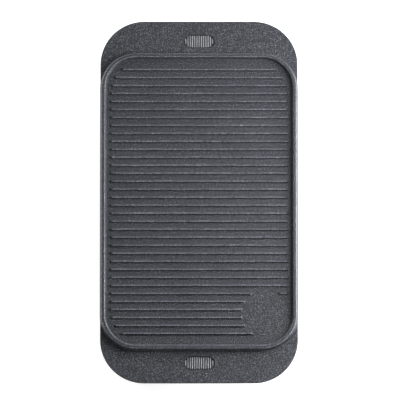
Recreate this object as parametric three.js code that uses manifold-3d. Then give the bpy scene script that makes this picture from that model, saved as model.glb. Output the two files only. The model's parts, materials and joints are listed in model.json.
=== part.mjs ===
// A tabletop charcoal hibachi grill. A ribbed cast-iron grill plate with a raised rim and two end
// flanges lifts off a sheet-steel firebox, which holds a liner, a coal grate, an ash drawer, two
// sliding air dampers and two swinging bail handles.
// Millimetres, +Z up. The origin is on the table under the middle of the grill. The plate's long
// axis is Y: the near end is at -Y and the far end at +Y. The drawer and the dampers are at +X.
import * as THREE from "three";
import { mergeVertices } from "three/addons/utils/BufferGeometryUtils.js";
import Module from "manifold-3d";

const wasm = await Module();
wasm.setup();

// ---- Clearances ----
const seat = 0.3; // gap between two pieces that rest on or touch each other
const holeClearance = 0.35; // radial room round a rivet, screw or stud
const turnClearance = 0.55; // radial room round a bail wire in its ear or grip

// ---- Grill plate ----
const plateLength = 508;
const panWidth = 274.5;
const flangeReach = 44.6; // how far an end flange stands out from the pan
const flangeInset = 0.5; // how far the flange's sides lie inside the pan's sides
const flangeCorner = 61;
const flangeThickness = 6;
const panCorner = 50;
const rimHeight = 10; // crest above the flange
const rimDraft = 2.3; // how far the outer wall leans in up to the crest
const rimTop = 5; // width of the flat crest
const innerDraft = 1;
const floorRise = 2; // pan floor above the flange
const floorThickness = 4.5;
const skirtDrop = 10; // skirt below the top of the flange
const skirtWall = 5;
const edgeBreak = 1.2; // chamfer round the flange and the crest

const ribPitch = 11.24;
const ribFromEnd = 15; // least distance from the pan's end wall to a rib's middle
const ribWidth = 3.6;
const ribTopWidth = 1.3;
const ribHeight = 3;
const ribHip = 2; // length of a rib's sloping end
const ribMargin = 4.7; // from the pan wall to the rib ends
const ribFieldCorner = 45;
const shortestRib = 8;

const discRadius = 33.5; // plain spot in one corner of the ribs
const discDepth = 0.4;
const discX = 92.5;
const discBesideRib = 2.5; // pitches from the disc's middle to the first rib that it cuts
const ribsCutByDisc = 6;

const gripLength = 43.5; // ridged thumb grip in each flange
const gripWidth = 19;
const gripDepth = 2.2;
const gripFromEnd = 28;
const gripRidges = 13;
const gripPitch = 3.1;
const gripRidgeWidth = 2.5;
const gripRidgeTop = 0.6;
const gripMargin = 0.9;
const gripSunk = 0.2; // ridge tops below the flange

const webThickness = 3;
const webDepth = 5;
const webSpacing = 100;
const bossRadius = 7;
const bossHeight = 4;
const pinRadius = 4;
const pinLength = 4.2;
const pinClearance = 1; // radial, in the plate rest's socket
const bossFromShellSide = 30;
const bossFromShellEnd = 16;

// ---- Firebox ----
const sheet = 1.5;
const footHeight = 14;
const shellSideInset = 19.25; // from the pan's side to the shell's
const shellEndInset = 7.4;
const shellHeight = 106;
const shellCorner = 20;
const bottomLip = 24;
const bottomLipCorner = 4;
const topLip = 4;
const skirtGap = 4; // smoke gap between the shell and the plate's skirt

const linerGap = 6;
const linerAboveDrawer = 4.6;
const linerBelowRim = 2;

const restWidth = 23;
const restLeafInset = 18; // from the end of a rest's shelf to the end of its leaf
const restLeafDrop = 22;

// ---- Coal grate ----
const ledgeAboveLinerBottom = 28;
const grateThickness = 4;
const grateGap = 3;
const grateCorner = 10;
const grateSlotWidth = 8;
const grateSlotPitch = 18;
const grateSpine = 16;
const grateBorder = 9; // least width of iron beyond the slots
const ledgeWidth = 13;
const ledgeDrop = 12;
const ledgeFromLinerSide = 35.5;
const loopSpan = 26;
const loopRise = 16;
const loopWire = 2;
const loopBend = 6;
const loopFromEnd = 38;

// ---- Ash drawer ----
const drawerFromShellEnd = 46.1;
const drawerHeight = 22;
const drawerFromBack = 32; // from the shell's back wall to the pan
const railLeaf = 12;
const railHeight = 24;
const drawerSideRoom = 1.6;
const frontOverlap = 5.5;
const frontCorner = 4;
const knobLength = 15.4;
const knobRadius = 9;
const knobNeck = 5;
const knobBoreDepth = 9;
const knobScrewReach = 7; // how far the screw enters the knob

// ---- Air dampers ----
const ventSlotWidth = 4;
const ventSlotHeight = 16;
const ventSlotPitch = 9;
const ventSlots = 9;
const ventAboveDrawer = 1.1; // from the drawer front to the lower damper guide
const ventFromCorner = 5; // from the shell's round corner to the end of a damper guide
const damperHeight = 22;
const damperTail = 24; // blank end that carries the knob
const damperBorder = 4;
const guideHeight = 3.7;
const guideLip = 2.6;
const guideLipThickness = 1.2;
const guideOverrun = 6;
const damperTravel = ventSlotPitch / 2; // from open to closed
const damperStudEnd = 1; // how far the knob's stud shows inside the shell
const damperKnobRadius = 7;
const damperKnobLength = 13;
const damperKnobNeck = 4;

// ---- Bail handles ----
const pivotBelowShellTop = 28;
const gripFromWall = 1.5; // from a hanging wooden grip to the shell
const bailHalf = 58;
const bailDrop = 38;
const bailWire = 3;
const bailBend = 7;
const bailEnd = 3; // how far the wire stands out past its ear
const bracketSheet = 2;
const bracketHalf = 66;
const bracketHeight = 16;
const woodRadius = 10.5;
const woodEndRadius = 8;
const woodFromLeg = 18; // from the end of a wooden grip to the middle of a bail's leg
const ferruleRadius = 7;
const ferruleLength = 3.5;

// ---- Feet and fasteners ----
const footInset = 16; // from the shell's faces
const footTopRadius = 15;
const footBottomRadius = 12;
const screwRadius = 2.5;
const screwHeadRadius = 5;
const screwHeadHeight = 3;
const footBoreDepth = 6;
const footBoreRoom = 1.5; // radial room round the screw's head
const footEdge = 1;
const footCollar = 2; // height of the straight-sided top
const screwThreadShown = 1; // past the nut
const nutHeight = 4;
const nutAcrossFlats = 8;
const rivetRadius = 2;
const rivetHeadRadius = 3.8;
const rivetHeadHeight = 1.6;
const bracketRivetInset = 26; // from the bracket's end
const restRivetInset = 20; // from the leaf's end
const restRivetBelowRim = 8;
const linerRivetFromEnd = 52;
const linerRivetBelowRim = 20;

// ---- Levels and places that follow ----
const shellBottom = footHeight;
const shellTop = shellBottom + shellHeight;
const flangeTop = shellTop + skirtGap + skirtDrop;
const skirtBottom = flangeTop - skirtDrop;
const crest = flangeTop + rimHeight;
const floorTop = flangeTop + floorRise;
const floorUnder = floorTop - floorThickness;
const panLength = plateLength - 2 * flangeReach;
const innerWidth = panWidth - 2 * (rimDraft + rimTop + innerDraft); // pan floor
const innerLength = panLength - 2 * (rimDraft + rimTop + innerDraft);
const innerCorner = panCorner - rimDraft - rimTop - innerDraft;
const shellWidth = panWidth - 2 * shellSideInset;
const shellLength = panLength - 2 * shellEndInset;
const shellX = shellWidth / 2; // outer face of the long walls
const shellY = shellLength / 2;
const linerX = shellX - sheet - linerGap;
const linerY = shellY - sheet - linerGap;
const linerCorner = shellCorner - sheet - linerGap;
const linerTop = shellTop - linerBelowRim;
const bottomPlateTop = shellBottom + 2 * sheet + seat;
const railTop = bottomPlateTop + seat + sheet;
const panBottom = railTop + seat;
const drawerTop = panBottom + drawerHeight;
const drawerHalf = shellY - drawerFromShellEnd;
const drawerDepth = shellWidth - drawerFromBack;
const linerBottom = drawerTop + linerAboveDrawer;
const grateLevel = linerBottom + ledgeAboveLinerBottom;
const frontFace = shellX + seat; // inner face of the drawer front and the dampers
const pivotY = shellY + gripFromWall + woodRadius;
const pivotLevel = shellTop - pivotBelowShellTop;
const woodHalf = bailHalf - woodFromLeg;
const bossX = shellX - bossFromShellSide;
const bossY = shellY - bossFromShellEnd;
const footX = shellX - footInset;
const footY = shellY - footInset;
const restTop = floorUnder - bossHeight;
const restBottom = restTop - sheet;
const restHalfLength = shellX - shellCorner;
const restLeafHalf = restHalfLength - restLeafInset;
const restRivetX = restLeafHalf - restRivetInset;
const bracketRivetX = bracketHalf - bracketRivetInset;
const linerRivetY = shellY - linerRivetFromEnd;
const ledgeHalf = linerX - ledgeFromLinerSide;
const ribCount = 1 + Math.floor((innerLength - 2 * ribFromEnd) / ribPitch);
const ventLevel =
  drawerTop + frontOverlap + ventAboveDrawer + guideHeight + seat + damperHeight / 2;
const ventHalf = ((ventSlots - 1) * ventSlotPitch) / 2 + ventSlotWidth / 2;
const damperFrom = -ventHalf - damperBorder;
const damperTo = ventHalf + damperBorder + damperTail;
const damperKnobY = damperTo - damperTail / 2;
const ventOffset = shellY - shellCorner - ventFromCorner - guideOverrun - damperTo;

// ---- Materials ----
const finish = (color, roughness, metalness) =>
  new THREE.MeshStandardMaterial({ color, roughness, metalness });
const castIron = finish(0x4d4f53, 0.55, 0.4);
const blackEnamel = finish(0x1d1e20, 0.45, 0.2);
const steel = finish(0x8e9196, 0.4, 0.9);
const bareSteel = finish(0x6d6f72, 0.55, 0.8);
const beech = finish(0xa9794b, 0.6, 0);

// ---- Geometry helpers ----
// A closed geometry as a manifold-3d solid.
function solid(geometry) {
  const bare = geometry.clone();
  bare.deleteAttribute("normal");
  bare.deleteAttribute("uv");
  const merged = mergeVertices(bare, 1e-4);
  return new wasm.Manifold(
    new wasm.Mesh({
      numProp: 3,
      vertProperties: new Float32Array(merged.attributes.position.array),
      triVerts: new Uint32Array(merged.index.array),
    }),
  );
}

// A manifold-3d solid as a three.js geometry.
function geometryOf(body) {
  const { vertProperties, triVerts } = body.getMesh();
  const geometry = new THREE.BufferGeometry();
  geometry.setAttribute("position", new THREE.BufferAttribute(vertProperties, 3));
  geometry.setIndex(new THREE.BufferAttribute(triVerts, 1));
  geometry.computeVertexNormals();
  return geometry;
}

const join = (bodies) => bodies.reduce((whole, body) => whole.add(body));
const cut = (body, tools) => tools.reduce((rest, tool) => rest.subtract(tool), body);

// A box between two corners.
function block(x0, x1, y0, y1, z0, z1) {
  const geometry = new THREE.BoxGeometry(x1 - x0, y1 - y0, z1 - z0);
  return solid(geometry.translate((x0 + x1) / 2, (y0 + y1) / 2, (z0 + z1) / 2));
}

// A rectangle with round corners, centred on the origin.
function roundedRect(width, length, radius) {
  const x = width / 2 - radius;
  const y = length / 2 - radius;
  const outline = new THREE.Shape();
  outline.absarc(x, -y, radius, -Math.PI / 2, 0);
  outline.absarc(x, y, radius, 0, Math.PI / 2);
  outline.absarc(-x, y, radius, Math.PI / 2, Math.PI);
  outline.absarc(-x, -y, radius, Math.PI, 1.5 * Math.PI);
  outline.closePath();
  return outline;
}

const stadium = (length, width) => roundedRect(length, width, width / 2 - 0.01);

// An outline extruded from one level to another.
function prism(outline, z0, z1, curveSegments = 4) {
  const depth = z1 - z0;
  const options = { depth, bevelEnabled: false, curveSegments };
  return solid(new THREE.ExtrudeGeometry(outline, options).translate(0, 0, z0));
}

// An outline's points, once each.
function ringOf(outline, curveSegments) {
  const points = outline.getPoints(curveSegments);
  return points.filter((p, i) => p.distanceTo(points[(i + 1) % points.length]) > 1e-6);
}

// A solid through outlines at rising levels. The outlines have the same number of points.
function loft(sections, curveSegments = 5) {
  const rings = sections.map(([outline, z]) => ({ z, points: ringOf(outline, curveSegments) }));
  const size = rings[0].points.length;
  const positions = rings.flatMap(({ z, points }) => points.flatMap((p) => [p.x, p.y, z]));
  const index = [];
  for (let level = 0; level + 1 < rings.length; level++) {
    for (let i = 0; i < size; i++) {
      const a = level * size + i;
      const b = level * size + ((i + 1) % size);
      index.push(a, b, b + size, a, b + size, a + size);
    }
  }
  const top = size * (rings.length - 1);
  for (const [a, b, c] of THREE.ShapeUtils.triangulateShape(rings[0].points, [])) {
    index.push(c, b, a);
  }
  for (const [a, b, c] of THREE.ShapeUtils.triangulateShape(rings.at(-1).points, [])) {
    index.push(top + a, top + b, top + c);
  }
  const geometry = new THREE.BufferGeometry();
  geometry.setAttribute("position", new THREE.Float32BufferAttribute(positions, 3));
  geometry.setIndex(index);
  return solid(geometry);
}

// A rectangle centred on a point.
function rectAt(x, y, width, length) {
  return new THREE.Shape([
    new THREE.Vector2(x - width / 2, y - length / 2),
    new THREE.Vector2(x + width / 2, y - length / 2),
    new THREE.Vector2(x + width / 2, y + length / 2),
    new THREE.Vector2(x - width / 2, y + length / 2),
  ]);
}

// A turned piece on the Z axis, from [radius, height] pairs.
function turned(profile, segments = 14) {
  const points = profile.map(([radius, height]) => new THREE.Vector2(radius, height));
  return new THREE.LatheGeometry(points, segments).rotateX(Math.PI / 2);
}

// A pin or hole of one radius on the Z axis.
function cylinder(radius, z0, z1, segments = 12) {
  const geometry = new THREE.CylinderGeometry(radius, radius, z1 - z0, segments);
  return solid(geometry.rotateX(Math.PI / 2).translate(0, 0, (z0 + z1) / 2));
}

// A round hole through a wall, along X or Y.
const holeAlongX = (radius, x, y, z, reach = 6) =>
  cylinder(radius, -reach, reach, 8).rotate([0, 90, 0]).translate([x, y, z]);
const holeAlongY = (radius, x, y, z, reach = 6) =>
  cylinder(radius, -reach, reach, 8).rotate([90, 0, 0]).translate([x, y, z]);

// A round wire along straight stretches joined by arcs, as a list of corner points.
function wire(corners, bend, radius, steps) {
  const path = new THREE.CurvePath();
  let start = corners[0];
  for (let i = 1; i + 1 < corners.length; i++) {
    const corner = corners[i];
    const before = corner.clone().lerp(corners[i - 1], bend / corner.distanceTo(corners[i - 1]));
    const after = corner.clone().lerp(corners[i + 1], bend / corner.distanceTo(corners[i + 1]));
    path.add(new THREE.LineCurve3(start, before));
    path.add(new THREE.QuadraticBezierCurve3(before, corner, after));
    start = after;
  }
  path.add(new THREE.LineCurve3(start, corners.at(-1)));
  const section = new THREE.Shape().absarc(0, 0, radius, 0, 2 * Math.PI);
  return new THREE.ExtrudeGeometry(section, { steps, curveSegments: 4, extrudePath: path });
}

// ---- Assembly helpers ----
const grill = new THREE.Group();
grill.name = "hibachi_grill";

function add(name, body, material, parent = grill) {
  const geometry = body.isBufferGeometry ? body : geometryOf(body);
  const mesh = new THREE.Mesh(geometry, material);
  mesh.name = name;
  parent.add(mesh);
  return mesh;
}

// Each end's pieces are built for the near end, and turned half round for the far end.
const ends = [
  ["near", 0],
  ["far", Math.PI],
].map(([name, turn]) => {
  const group = new THREE.Group();
  group.rotation.z = turn;
  grill.add(group);
  return { name, group };
});

// ---- Grill plate ----
const ribY = (k) => ((ribCount - 1) / 2 - k) * ribPitch;
const firstCutRib = ribCount - ribsCutByDisc;
const discY = ribY(firstCutRib + discBesideRib);

// How far the rib field reaches from the middle at one rib.
function fieldHalfWidth(y) {
  const half = innerWidth / 2 - ribMargin;
  const cornerY = innerLength / 2 - ribMargin - ribFieldCorner;
  const over = Math.max(0, Math.abs(y) - cornerY);
  return half - ribFieldCorner + Math.sqrt(ribFieldCorner ** 2 - over ** 2);
}

// The stretches of one rib, broken where the plain disc lies.
function ribStretches(y) {
  const reach = fieldHalfWidth(y);
  const across = discRadius ** 2 - (y - discY) ** 2;
  if (across <= 0) return [[-reach, reach]];
  const half = Math.sqrt(across);
  const stretches = [
    [-reach, Math.min(reach, discX - half)],
    [discX + half, reach],
  ];
  return stretches.filter(([from, to]) => to - from > shortestRib);
}

function ribs() {
  const sunk = 0.5; // the foot of a rib reaches into the floor
  const foot = ribWidth + (sunk * (ribWidth - ribTopWidth)) / ribHeight;
  const bodies = [];
  for (let k = 0; k < ribCount; k++) {
    for (const [from, to] of ribStretches(ribY(k))) {
      const middle = (from + to) / 2;
      const length = to - from;
      bodies.push(
        loft([
          [rectAt(middle, ribY(k), length, foot), floorTop - sunk],
          [rectAt(middle, ribY(k), length - 2 * ribHip, ribTopWidth), floorTop + ribHeight],
        ]),
      );
    }
  }
  return join(bodies);
}

function thumbGripCut() {
  const y = -plateLength / 2 + gripFromEnd;
  const pocket = prism(stadium(gripLength, gripWidth), flangeTop - gripDepth, flangeTop + 1);
  const ridgeTop = flangeTop - gripSunk;
  const field = prism(
    stadium(gripLength - 2 * gripMargin, gripWidth - 2 * gripMargin),
    flangeTop - gripDepth - 1,
    flangeTop,
  );
  const ridges = [];
  for (let k = 0; k < gripRidges; k++) {
    const x = (k - (gripRidges - 1) / 2) * gripPitch;
    ridges.push(
      loft([
        [rectAt(x, 0, gripRidgeWidth, gripWidth), flangeTop - gripDepth - 0.5],
        [rectAt(x, 0, gripRidgeTop, gripWidth), ridgeTop],
      ]),
    );
  }
  return pocket.subtract(join(ridges).intersect(field)).translate([0, y, 0]);
}

function grillPlate() {
  const flangeWidth = panWidth - 2 * flangeInset;
  const flangeEdge = (inset) =>
    roundedRect(flangeWidth - 2 * inset, plateLength - 2 * inset, flangeCorner - inset);
  const flange = loft([
    [flangeEdge(edgeBreak), flangeTop - flangeThickness],
    [flangeEdge(0), flangeTop - flangeThickness + edgeBreak],
    [flangeEdge(0), flangeTop - edgeBreak],
    [flangeEdge(edgeBreak), flangeTop],
  ]);
  const ring = (inset) => roundedRect(panWidth - 2 * inset, panLength - 2 * inset, panCorner - inset);
  const rim = loft([
    [ring(0), skirtBottom],
    [ring(0), flangeTop],
    [ring(rimDraft), crest - edgeBreak],
    [ring(rimDraft + edgeBreak), crest],
  ]);
  const crestInset = rimDraft + rimTop;
  const pan = loft([
    [roundedRect(innerWidth, innerLength, innerCorner), floorTop],
    [ring(crestInset), crest - edgeBreak],
    [ring(crestInset - edgeBreak), crest],
    [ring(crestInset - edgeBreak), crest + 1],
  ]);
  const hollow = prism(ring(skirtWall), skirtBottom - 1, floorUnder);
  const webs = [-1, 0, 1].map((k) =>
    block(
      -panWidth / 2 + skirtWall / 2,
      panWidth / 2 - skirtWall / 2,
      k * webSpacing - webThickness / 2,
      k * webSpacing + webThickness / 2,
      floorUnder - webDepth,
      floorUnder + 1,
    ),
  );
  const bosses = [];
  for (const x of [-bossX, bossX]) {
    for (const y of [-bossY, bossY]) {
      bosses.push(cylinder(bossRadius, restTop + seat, floorUnder + 1).translate([x, y, 0]));
      bosses.push(cylinder(pinRadius, restTop - pinLength, floorUnder + 1).translate([x, y, 0]));
    }
  }
  const disc = cylinder(discRadius, floorTop - discDepth, floorTop + 1, 32);
  const nearGrip = thumbGripCut();
  const casting = cut(join([flange, rim]), [pan, hollow]);
  return cut(join([casting, ribs(), ...webs, ...bosses]), [
    disc.translate([discX, discY, 0]),
    nearGrip,
    nearGrip.rotate([0, 0, 180]),
  ]);
}

// ---- Firebox ----
function ventCuts(x, y) {
  const slots = [];
  for (let k = 0; k < ventSlots; k++) {
    const middle = y + (k - (ventSlots - 1) / 2) * ventSlotPitch;
    slots.push(
      block(
        x - 3 * sheet,
        x + 3 * sheet,
        middle - ventSlotWidth / 2,
        middle + ventSlotWidth / 2,
        ventLevel - ventSlotHeight / 2,
        ventLevel + ventSlotHeight / 2,
      ),
    );
  }
  return slots;
}

const rivetHole = rivetRadius + holeClearance;

// The slot that the knob's stud runs in. Its ends stop the damper fully open and fully closed.
function damperStop(y) {
  return block(
    shellX - 3 * sheet,
    shellX + 3 * sheet,
    y + damperKnobY - rivetHole,
    y + damperKnobY + damperTravel + rivetHole,
    ventLevel - rivetHole,
    ventLevel + rivetHole,
  );
}

const restRivetZ = shellTop - restRivetBelowRim;
const linerRivetZ = shellTop - linerRivetBelowRim;

function endRivetHoles() {
  return [-1, 1].flatMap((side) =>
    [-shellY, shellY].flatMap((y) => [
      holeAlongY(rivetHole, side * bracketRivetX, y, pivotLevel),
      holeAlongY(rivetHole, side * restRivetX, y, restRivetZ),
    ]),
  );
}

const linerRivetHoles = () =>
  [-1, 1].flatMap((side) =>
    [-linerRivetY, linerRivetY].map((y) =>
      holeAlongX(rivetHole, side * shellX, y, linerRivetZ, 2 * linerGap),
    ),
  );

const footHoles = () =>
  [-footX, footX].flatMap((x) =>
    [-footY, footY].map((y) =>
      cylinder(screwRadius + holeClearance, 0, bottomPlateTop + 1, 8).translate([x, y, 0]),
    ),
  );

function shell() {
  const inside = (inset) =>
    roundedRect(shellWidth - 2 * inset, shellLength - 2 * inset, shellCorner - inset);
  const walls = join([
    prism(inside(0), shellBottom, shellTop),
    prism(inside(-topLip), shellTop - sheet, shellTop),
  ]);
  const opening = roundedRect(
    shellWidth - 2 * (sheet + bottomLip),
    shellLength - 2 * (sheet + bottomLip),
    bottomLipCorner,
  );
  const drawerOpening = block(
    shellX - 3 * sheet,
    shellX + 3 * sheet,
    -drawerHalf - drawerSideRoom,
    drawerHalf + drawerSideRoom,
    panBottom - 1,
    drawerTop + drawerSideRoom,
  );
  return cut(walls, [
    prism(inside(sheet), shellBottom + sheet, shellTop + 1),
    prism(opening, shellBottom - 1, shellBottom + sheet + 1),
    drawerOpening,
    ...[-ventOffset, ventOffset].flatMap((y) => [...ventCuts(shellX, y), damperStop(y)]),
    ...endRivetHoles(),
    ...linerRivetHoles(),
    ...footHoles(),
  ]);
}

function liner() {
  const wall = (inset) =>
    roundedRect(2 * (linerX - inset), 2 * (linerY - inset), linerCorner - inset);
  return cut(prism(wall(0), linerBottom, linerTop, 3), [
    prism(wall(sheet), linerBottom - 1, linerTop + 1, 3),
    ...linerRivetHoles(),
  ]);
}

function bottomPlate() {
  const inset = sheet + seat;
  const outline = roundedRect(
    shellWidth - 2 * inset,
    shellLength - 2 * inset,
    shellCorner - inset,
  );
  return cut(prism(outline, bottomPlateTop - sheet, bottomPlateTop), footHoles());
}

// An angle strip that carries one end of the plate.
function plateRest() {
  const wall = -(shellY - sheet - seat);
  const shelf = block(-restHalfLength, restHalfLength, wall, wall + restWidth, restBottom, restTop);
  const leaf = block(
    -restLeafHalf,
    restLeafHalf,
    wall,
    wall + sheet,
    restTop - sheet - restLeafDrop,
    restTop,
  );
  const sockets = [-bossX, bossX].map((x) =>
    cylinder(pinRadius + pinClearance, restBottom - 1, restTop + 1).translate([x, -bossY, 0]),
  );
  const rivets = [-restRivetX, restRivetX].map((x) => holeAlongY(rivetHole, x, wall, restRivetZ));
  return cut(shelf.add(leaf), [...sockets, ...rivets]);
}

// An angle strip inside the liner that carries one end of the coal grate.
function grateLedge() {
  const wall = -(linerY - sheet - seat);
  const top = grateLevel + sheet;
  return join([
    block(-ledgeHalf, ledgeHalf, wall, wall + ledgeWidth, grateLevel, top),
    block(-ledgeHalf, ledgeHalf, wall, wall + sheet, top - ledgeDrop, top),
  ]);
}

function drawerRail() {
  const outside = -(drawerHalf + drawerSideRoom + sheet / 2);
  const back = shellX - sheet - seat - drawerDepth + 1;
  const front = shellX - sheet - seat;
  const base = bottomPlateTop + seat;
  return join([
    block(back, front, outside, outside + railLeaf, base, railTop),
    block(back, front, outside, outside + sheet, base, base + railHeight),
  ]);
}

// ---- Coal grate ----
function coalGrate() {
  const width = 2 * (linerX - sheet - grateGap);
  const length = 2 * (linerY - sheet - grateGap);
  const bottom = grateLevel + sheet + seat;
  const slots = [];
  const rows = Math.floor((length - 2 * grateBorder - grateSlotWidth) / grateSlotPitch) + 1;
  for (let k = 0; k < rows; k++) {
    const y = (k - (rows - 1) / 2) * grateSlotPitch;
    for (const side of [-1, 1]) {
      const near = (side * grateSpine) / 2;
      const far = side * (width / 2 - grateBorder);
      slots.push(
        block(
          Math.min(near, far),
          Math.max(near, far),
          y - grateSlotWidth / 2,
          y + grateSlotWidth / 2,
          bottom - 1,
          bottom + grateThickness + 1,
        ),
      );
    }
  }
  const plate = prism(roundedRect(width, length, grateCorner), bottom, bottom + grateThickness, 2);
  return cut(plate, slots);
}

function liftingLoop() {
  const foot = grateLevel + sheet + grateThickness + 2 * seat;
  const y = -(linerY - sheet - grateGap - loopFromEnd);
  const at = (dy, dz) => new THREE.Vector3(0, y + dy, foot + dz);
  const corners = [
    at(-loopSpan / 2, 0),
    at(-loopSpan / 2, loopRise),
    at(loopSpan / 2, loopRise),
    at(loopSpan / 2, 0),
  ];
  return wire(corners, loopBend, loopWire, 14);
}

// ---- Ash drawer ----
function ashPan() {
  const front = shellX;
  const back = front - drawerDepth;
  const outer = block(back, front, -drawerHalf, drawerHalf, panBottom, drawerTop);
  const inner = block(
    back + sheet,
    front - sheet,
    -drawerHalf + sheet,
    drawerHalf - sheet,
    panBottom + sheet,
    drawerTop + 1,
  );
  const hole = holeAlongX(screwRadius + holeClearance, front, 0, (panBottom + drawerTop) / 2);
  return cut(outer, [inner, hole]);
}

function drawerFront() {
  const height = drawerHeight + 2 * frontOverlap;
  const width = 2 * (drawerHalf + drawerSideRoom + frontOverlap);
  const middle = (panBottom + drawerTop) / 2;
  return prism(roundedRect(height, width, frontCorner), 0, sheet, 2)
    .rotate([0, 90, 0])
    .translate([frontFace, 0, middle])
    .subtract(holeAlongX(screwRadius + holeClearance, frontFace, 0, middle));
}

function drawerKnob() {
  const bore = screwRadius + holeClearance;
  return turned([
    [bore, 0],
    [knobNeck, 0],
    [knobNeck, knobLength * 0.25],
    [knobRadius, knobLength * 0.55],
    [knobRadius, knobLength * 0.8],
    [knobRadius * 0.7, knobLength],
    [0, knobLength],
    [0, knobBoreDepth],
    [bore, knobBoreDepth],
    [bore, 0],
  ]);
}

// A pan-head screw, head down, with the underside of its head at height 0.
function screw(shankLength) {
  return turned(
    [
      [0, -screwHeadHeight],
      [screwHeadRadius - 1, -screwHeadHeight],
      [screwHeadRadius, -screwHeadHeight + 1.2],
      [screwHeadRadius, 0],
      [screwRadius, 0],
      [screwRadius, shankLength],
      [0, shankLength],
    ],
    10,
  );
}

// ---- Air dampers ----
function damperPlate(y) {
  const plate = block(
    frontFace,
    frontFace + sheet,
    y + damperFrom,
    y + damperTo,
    ventLevel - damperHeight / 2,
    ventLevel + damperHeight / 2,
  );
  return cut(plate, [
    ...ventCuts(frontFace, y),
    holeAlongX(rivetHole, frontFace, y + damperKnobY, ventLevel),
  ]);
}

function damperGuide(y, side) {
  const edge = ventLevel + side * (damperHeight / 2 + seat);
  const outer = edge + side * guideHeight;
  const inner = edge - side * guideLip;
  const lipFace = frontFace + sheet + seat;
  const from = y + damperFrom - guideOverrun;
  const to = y + damperTo + guideOverrun;
  const low = Math.min(edge, outer);
  const high = Math.max(edge, outer);
  return join([
    block(frontFace, lipFace + guideLipThickness, from, to, low, high),
    block(
      lipFace,
      lipFace + guideLipThickness,
      from,
      to,
      Math.min(inner, outer),
      Math.max(inner, outer),
    ),
  ]);
}

// The knob's stud passes through the damper plate and the stop slot in the shell.
function damperKnob() {
  const stud = 2 * sheet + 2 * seat + damperStudEnd;
  return turned([
    [0, -stud],
    [rivetRadius, -stud],
    [rivetRadius, 0],
    [damperKnobNeck, 0],
    [damperKnobNeck, damperKnobLength * 0.25],
    [damperKnobRadius, damperKnobLength * 0.55],
    [damperKnobRadius, damperKnobLength * 0.8],
    [damperKnobRadius * 0.7, damperKnobLength],
    [0, damperKnobLength],
  ]);
}

// ---- Bail handles ----
function handleBracket() {
  const face = shellY + seat;
  const base = block(
    -bracketHalf,
    bracketHalf,
    -face - bracketSheet,
    -face,
    pivotLevel - bracketHeight / 2,
    pivotLevel + bracketHeight / 2,
  );
  const ear = new THREE.Shape();
  const half = bracketHeight / 2;
  ear.moveTo(-face, -half);
  ear.lineTo(-face, half);
  ear.absarc(-pivotY, 0, half, Math.PI / 2, 1.5 * Math.PI);
  ear.closePath();
  const earPlate = prism(ear, 0, bracketSheet).rotate([90, 0, 90]);
  const ears = [-bracketHalf, bracketHalf - bracketSheet].map((x) =>
    earPlate.translate([x, 0, pivotLevel]),
  );
  const pivotHole = cylinder(bailWire + turnClearance, -bracketHalf - 1, bracketHalf + 1)
    .rotate([0, 90, 0])
    .translate([0, -pivotY, pivotLevel]);
  const rivets = [-bracketRivetX, bracketRivetX].map((x) =>
    holeAlongY(rivetHole, x, -face, pivotLevel),
  );
  return cut(join([base, ...ears]), [pivotHole, ...rivets]);
}

function bail() {
  const at = (x, z) => new THREE.Vector3(x, -pivotY, pivotLevel + z);
  const end = bracketHalf + bailEnd;
  const corners = [
    at(-end, 0),
    at(-bailHalf, 0),
    at(-bailHalf, -bailDrop),
    at(bailHalf, -bailDrop),
    at(bailHalf, 0),
    at(end, 0),
  ];
  return wire(corners, bailBend, bailWire, 40);
}

function woodGrip() {
  const bore = bailWire + turnClearance;
  return turned([
    [bore, -woodHalf],
    [woodEndRadius - 1, -woodHalf],
    [woodEndRadius, -woodHalf + 1],
    [woodRadius - 0.6, -woodHalf / 2],
    [woodRadius, 0],
    [woodRadius - 0.6, woodHalf / 2],
    [woodEndRadius, woodHalf - 1],
    [woodEndRadius - 1, woodHalf],
    [bore, woodHalf],
    [bore, -woodHalf],
  ]);
}

function ferrule() {
  const bore = bailWire + seat;
  return turned(
    [
      [bore, 0],
      [ferruleRadius, 0],
      [ferruleRadius, ferruleLength - 1],
      [ferruleRadius - 1, ferruleLength],
      [bore, ferruleLength],
      [bore, 0],
    ],
    12,
  );
}

// ---- Feet and fasteners ----
function foot() {
  const top = footHeight - seat;
  const bore = screwHeadRadius + footBoreRoom;
  return turned([
    [bore, 0],
    [footBottomRadius - footEdge, 0],
    [footBottomRadius, footEdge],
    [footTopRadius, top - footCollar],
    [footTopRadius - footEdge, top],
    [screwRadius + holeClearance, top],
    [screwRadius + holeClearance, footBoreDepth],
    [bore, footBoreDepth],
    [bore, 0],
  ]);
}

function nut() {
  const corner = nutAcrossFlats / 2 / Math.cos(Math.PI / 6);
  return cylinder(corner, 0, nutHeight, 6).subtract(
    cylinder(screwRadius + holeClearance, -1, nutHeight + 1, 8),
  );
}

// A rivet with a domed head at each end of the grip. The outer head's underside is at height 0.
// A shoulder, where there is one, keeps the two sheets apart.
function rivet(gripLength, shoulder = []) {
  const dome = (base, way) => [
    [rivetHeadRadius, base],
    [rivetHeadRadius / 2, base + way * rivetHeadHeight],
    [0, base + way * rivetHeadHeight],
  ];
  return turned(
    [
      ...dome(0, -1).reverse(),
      [rivetRadius, 0],
      ...shoulder,
      [rivetRadius, gripLength],
      ...dome(gripLength, 1),
    ],
    8,
  );
}

// ---- Assembly ----
add("grill_plate", grillPlate(), castIron);
add("outer_shell", shell(), blackEnamel);
add("inner_liner", liner(), bareSteel);
add("bottom_plate", bottomPlate(), bareSteel);
add("coal_grate", coalGrate(), bareSteel);

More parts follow.
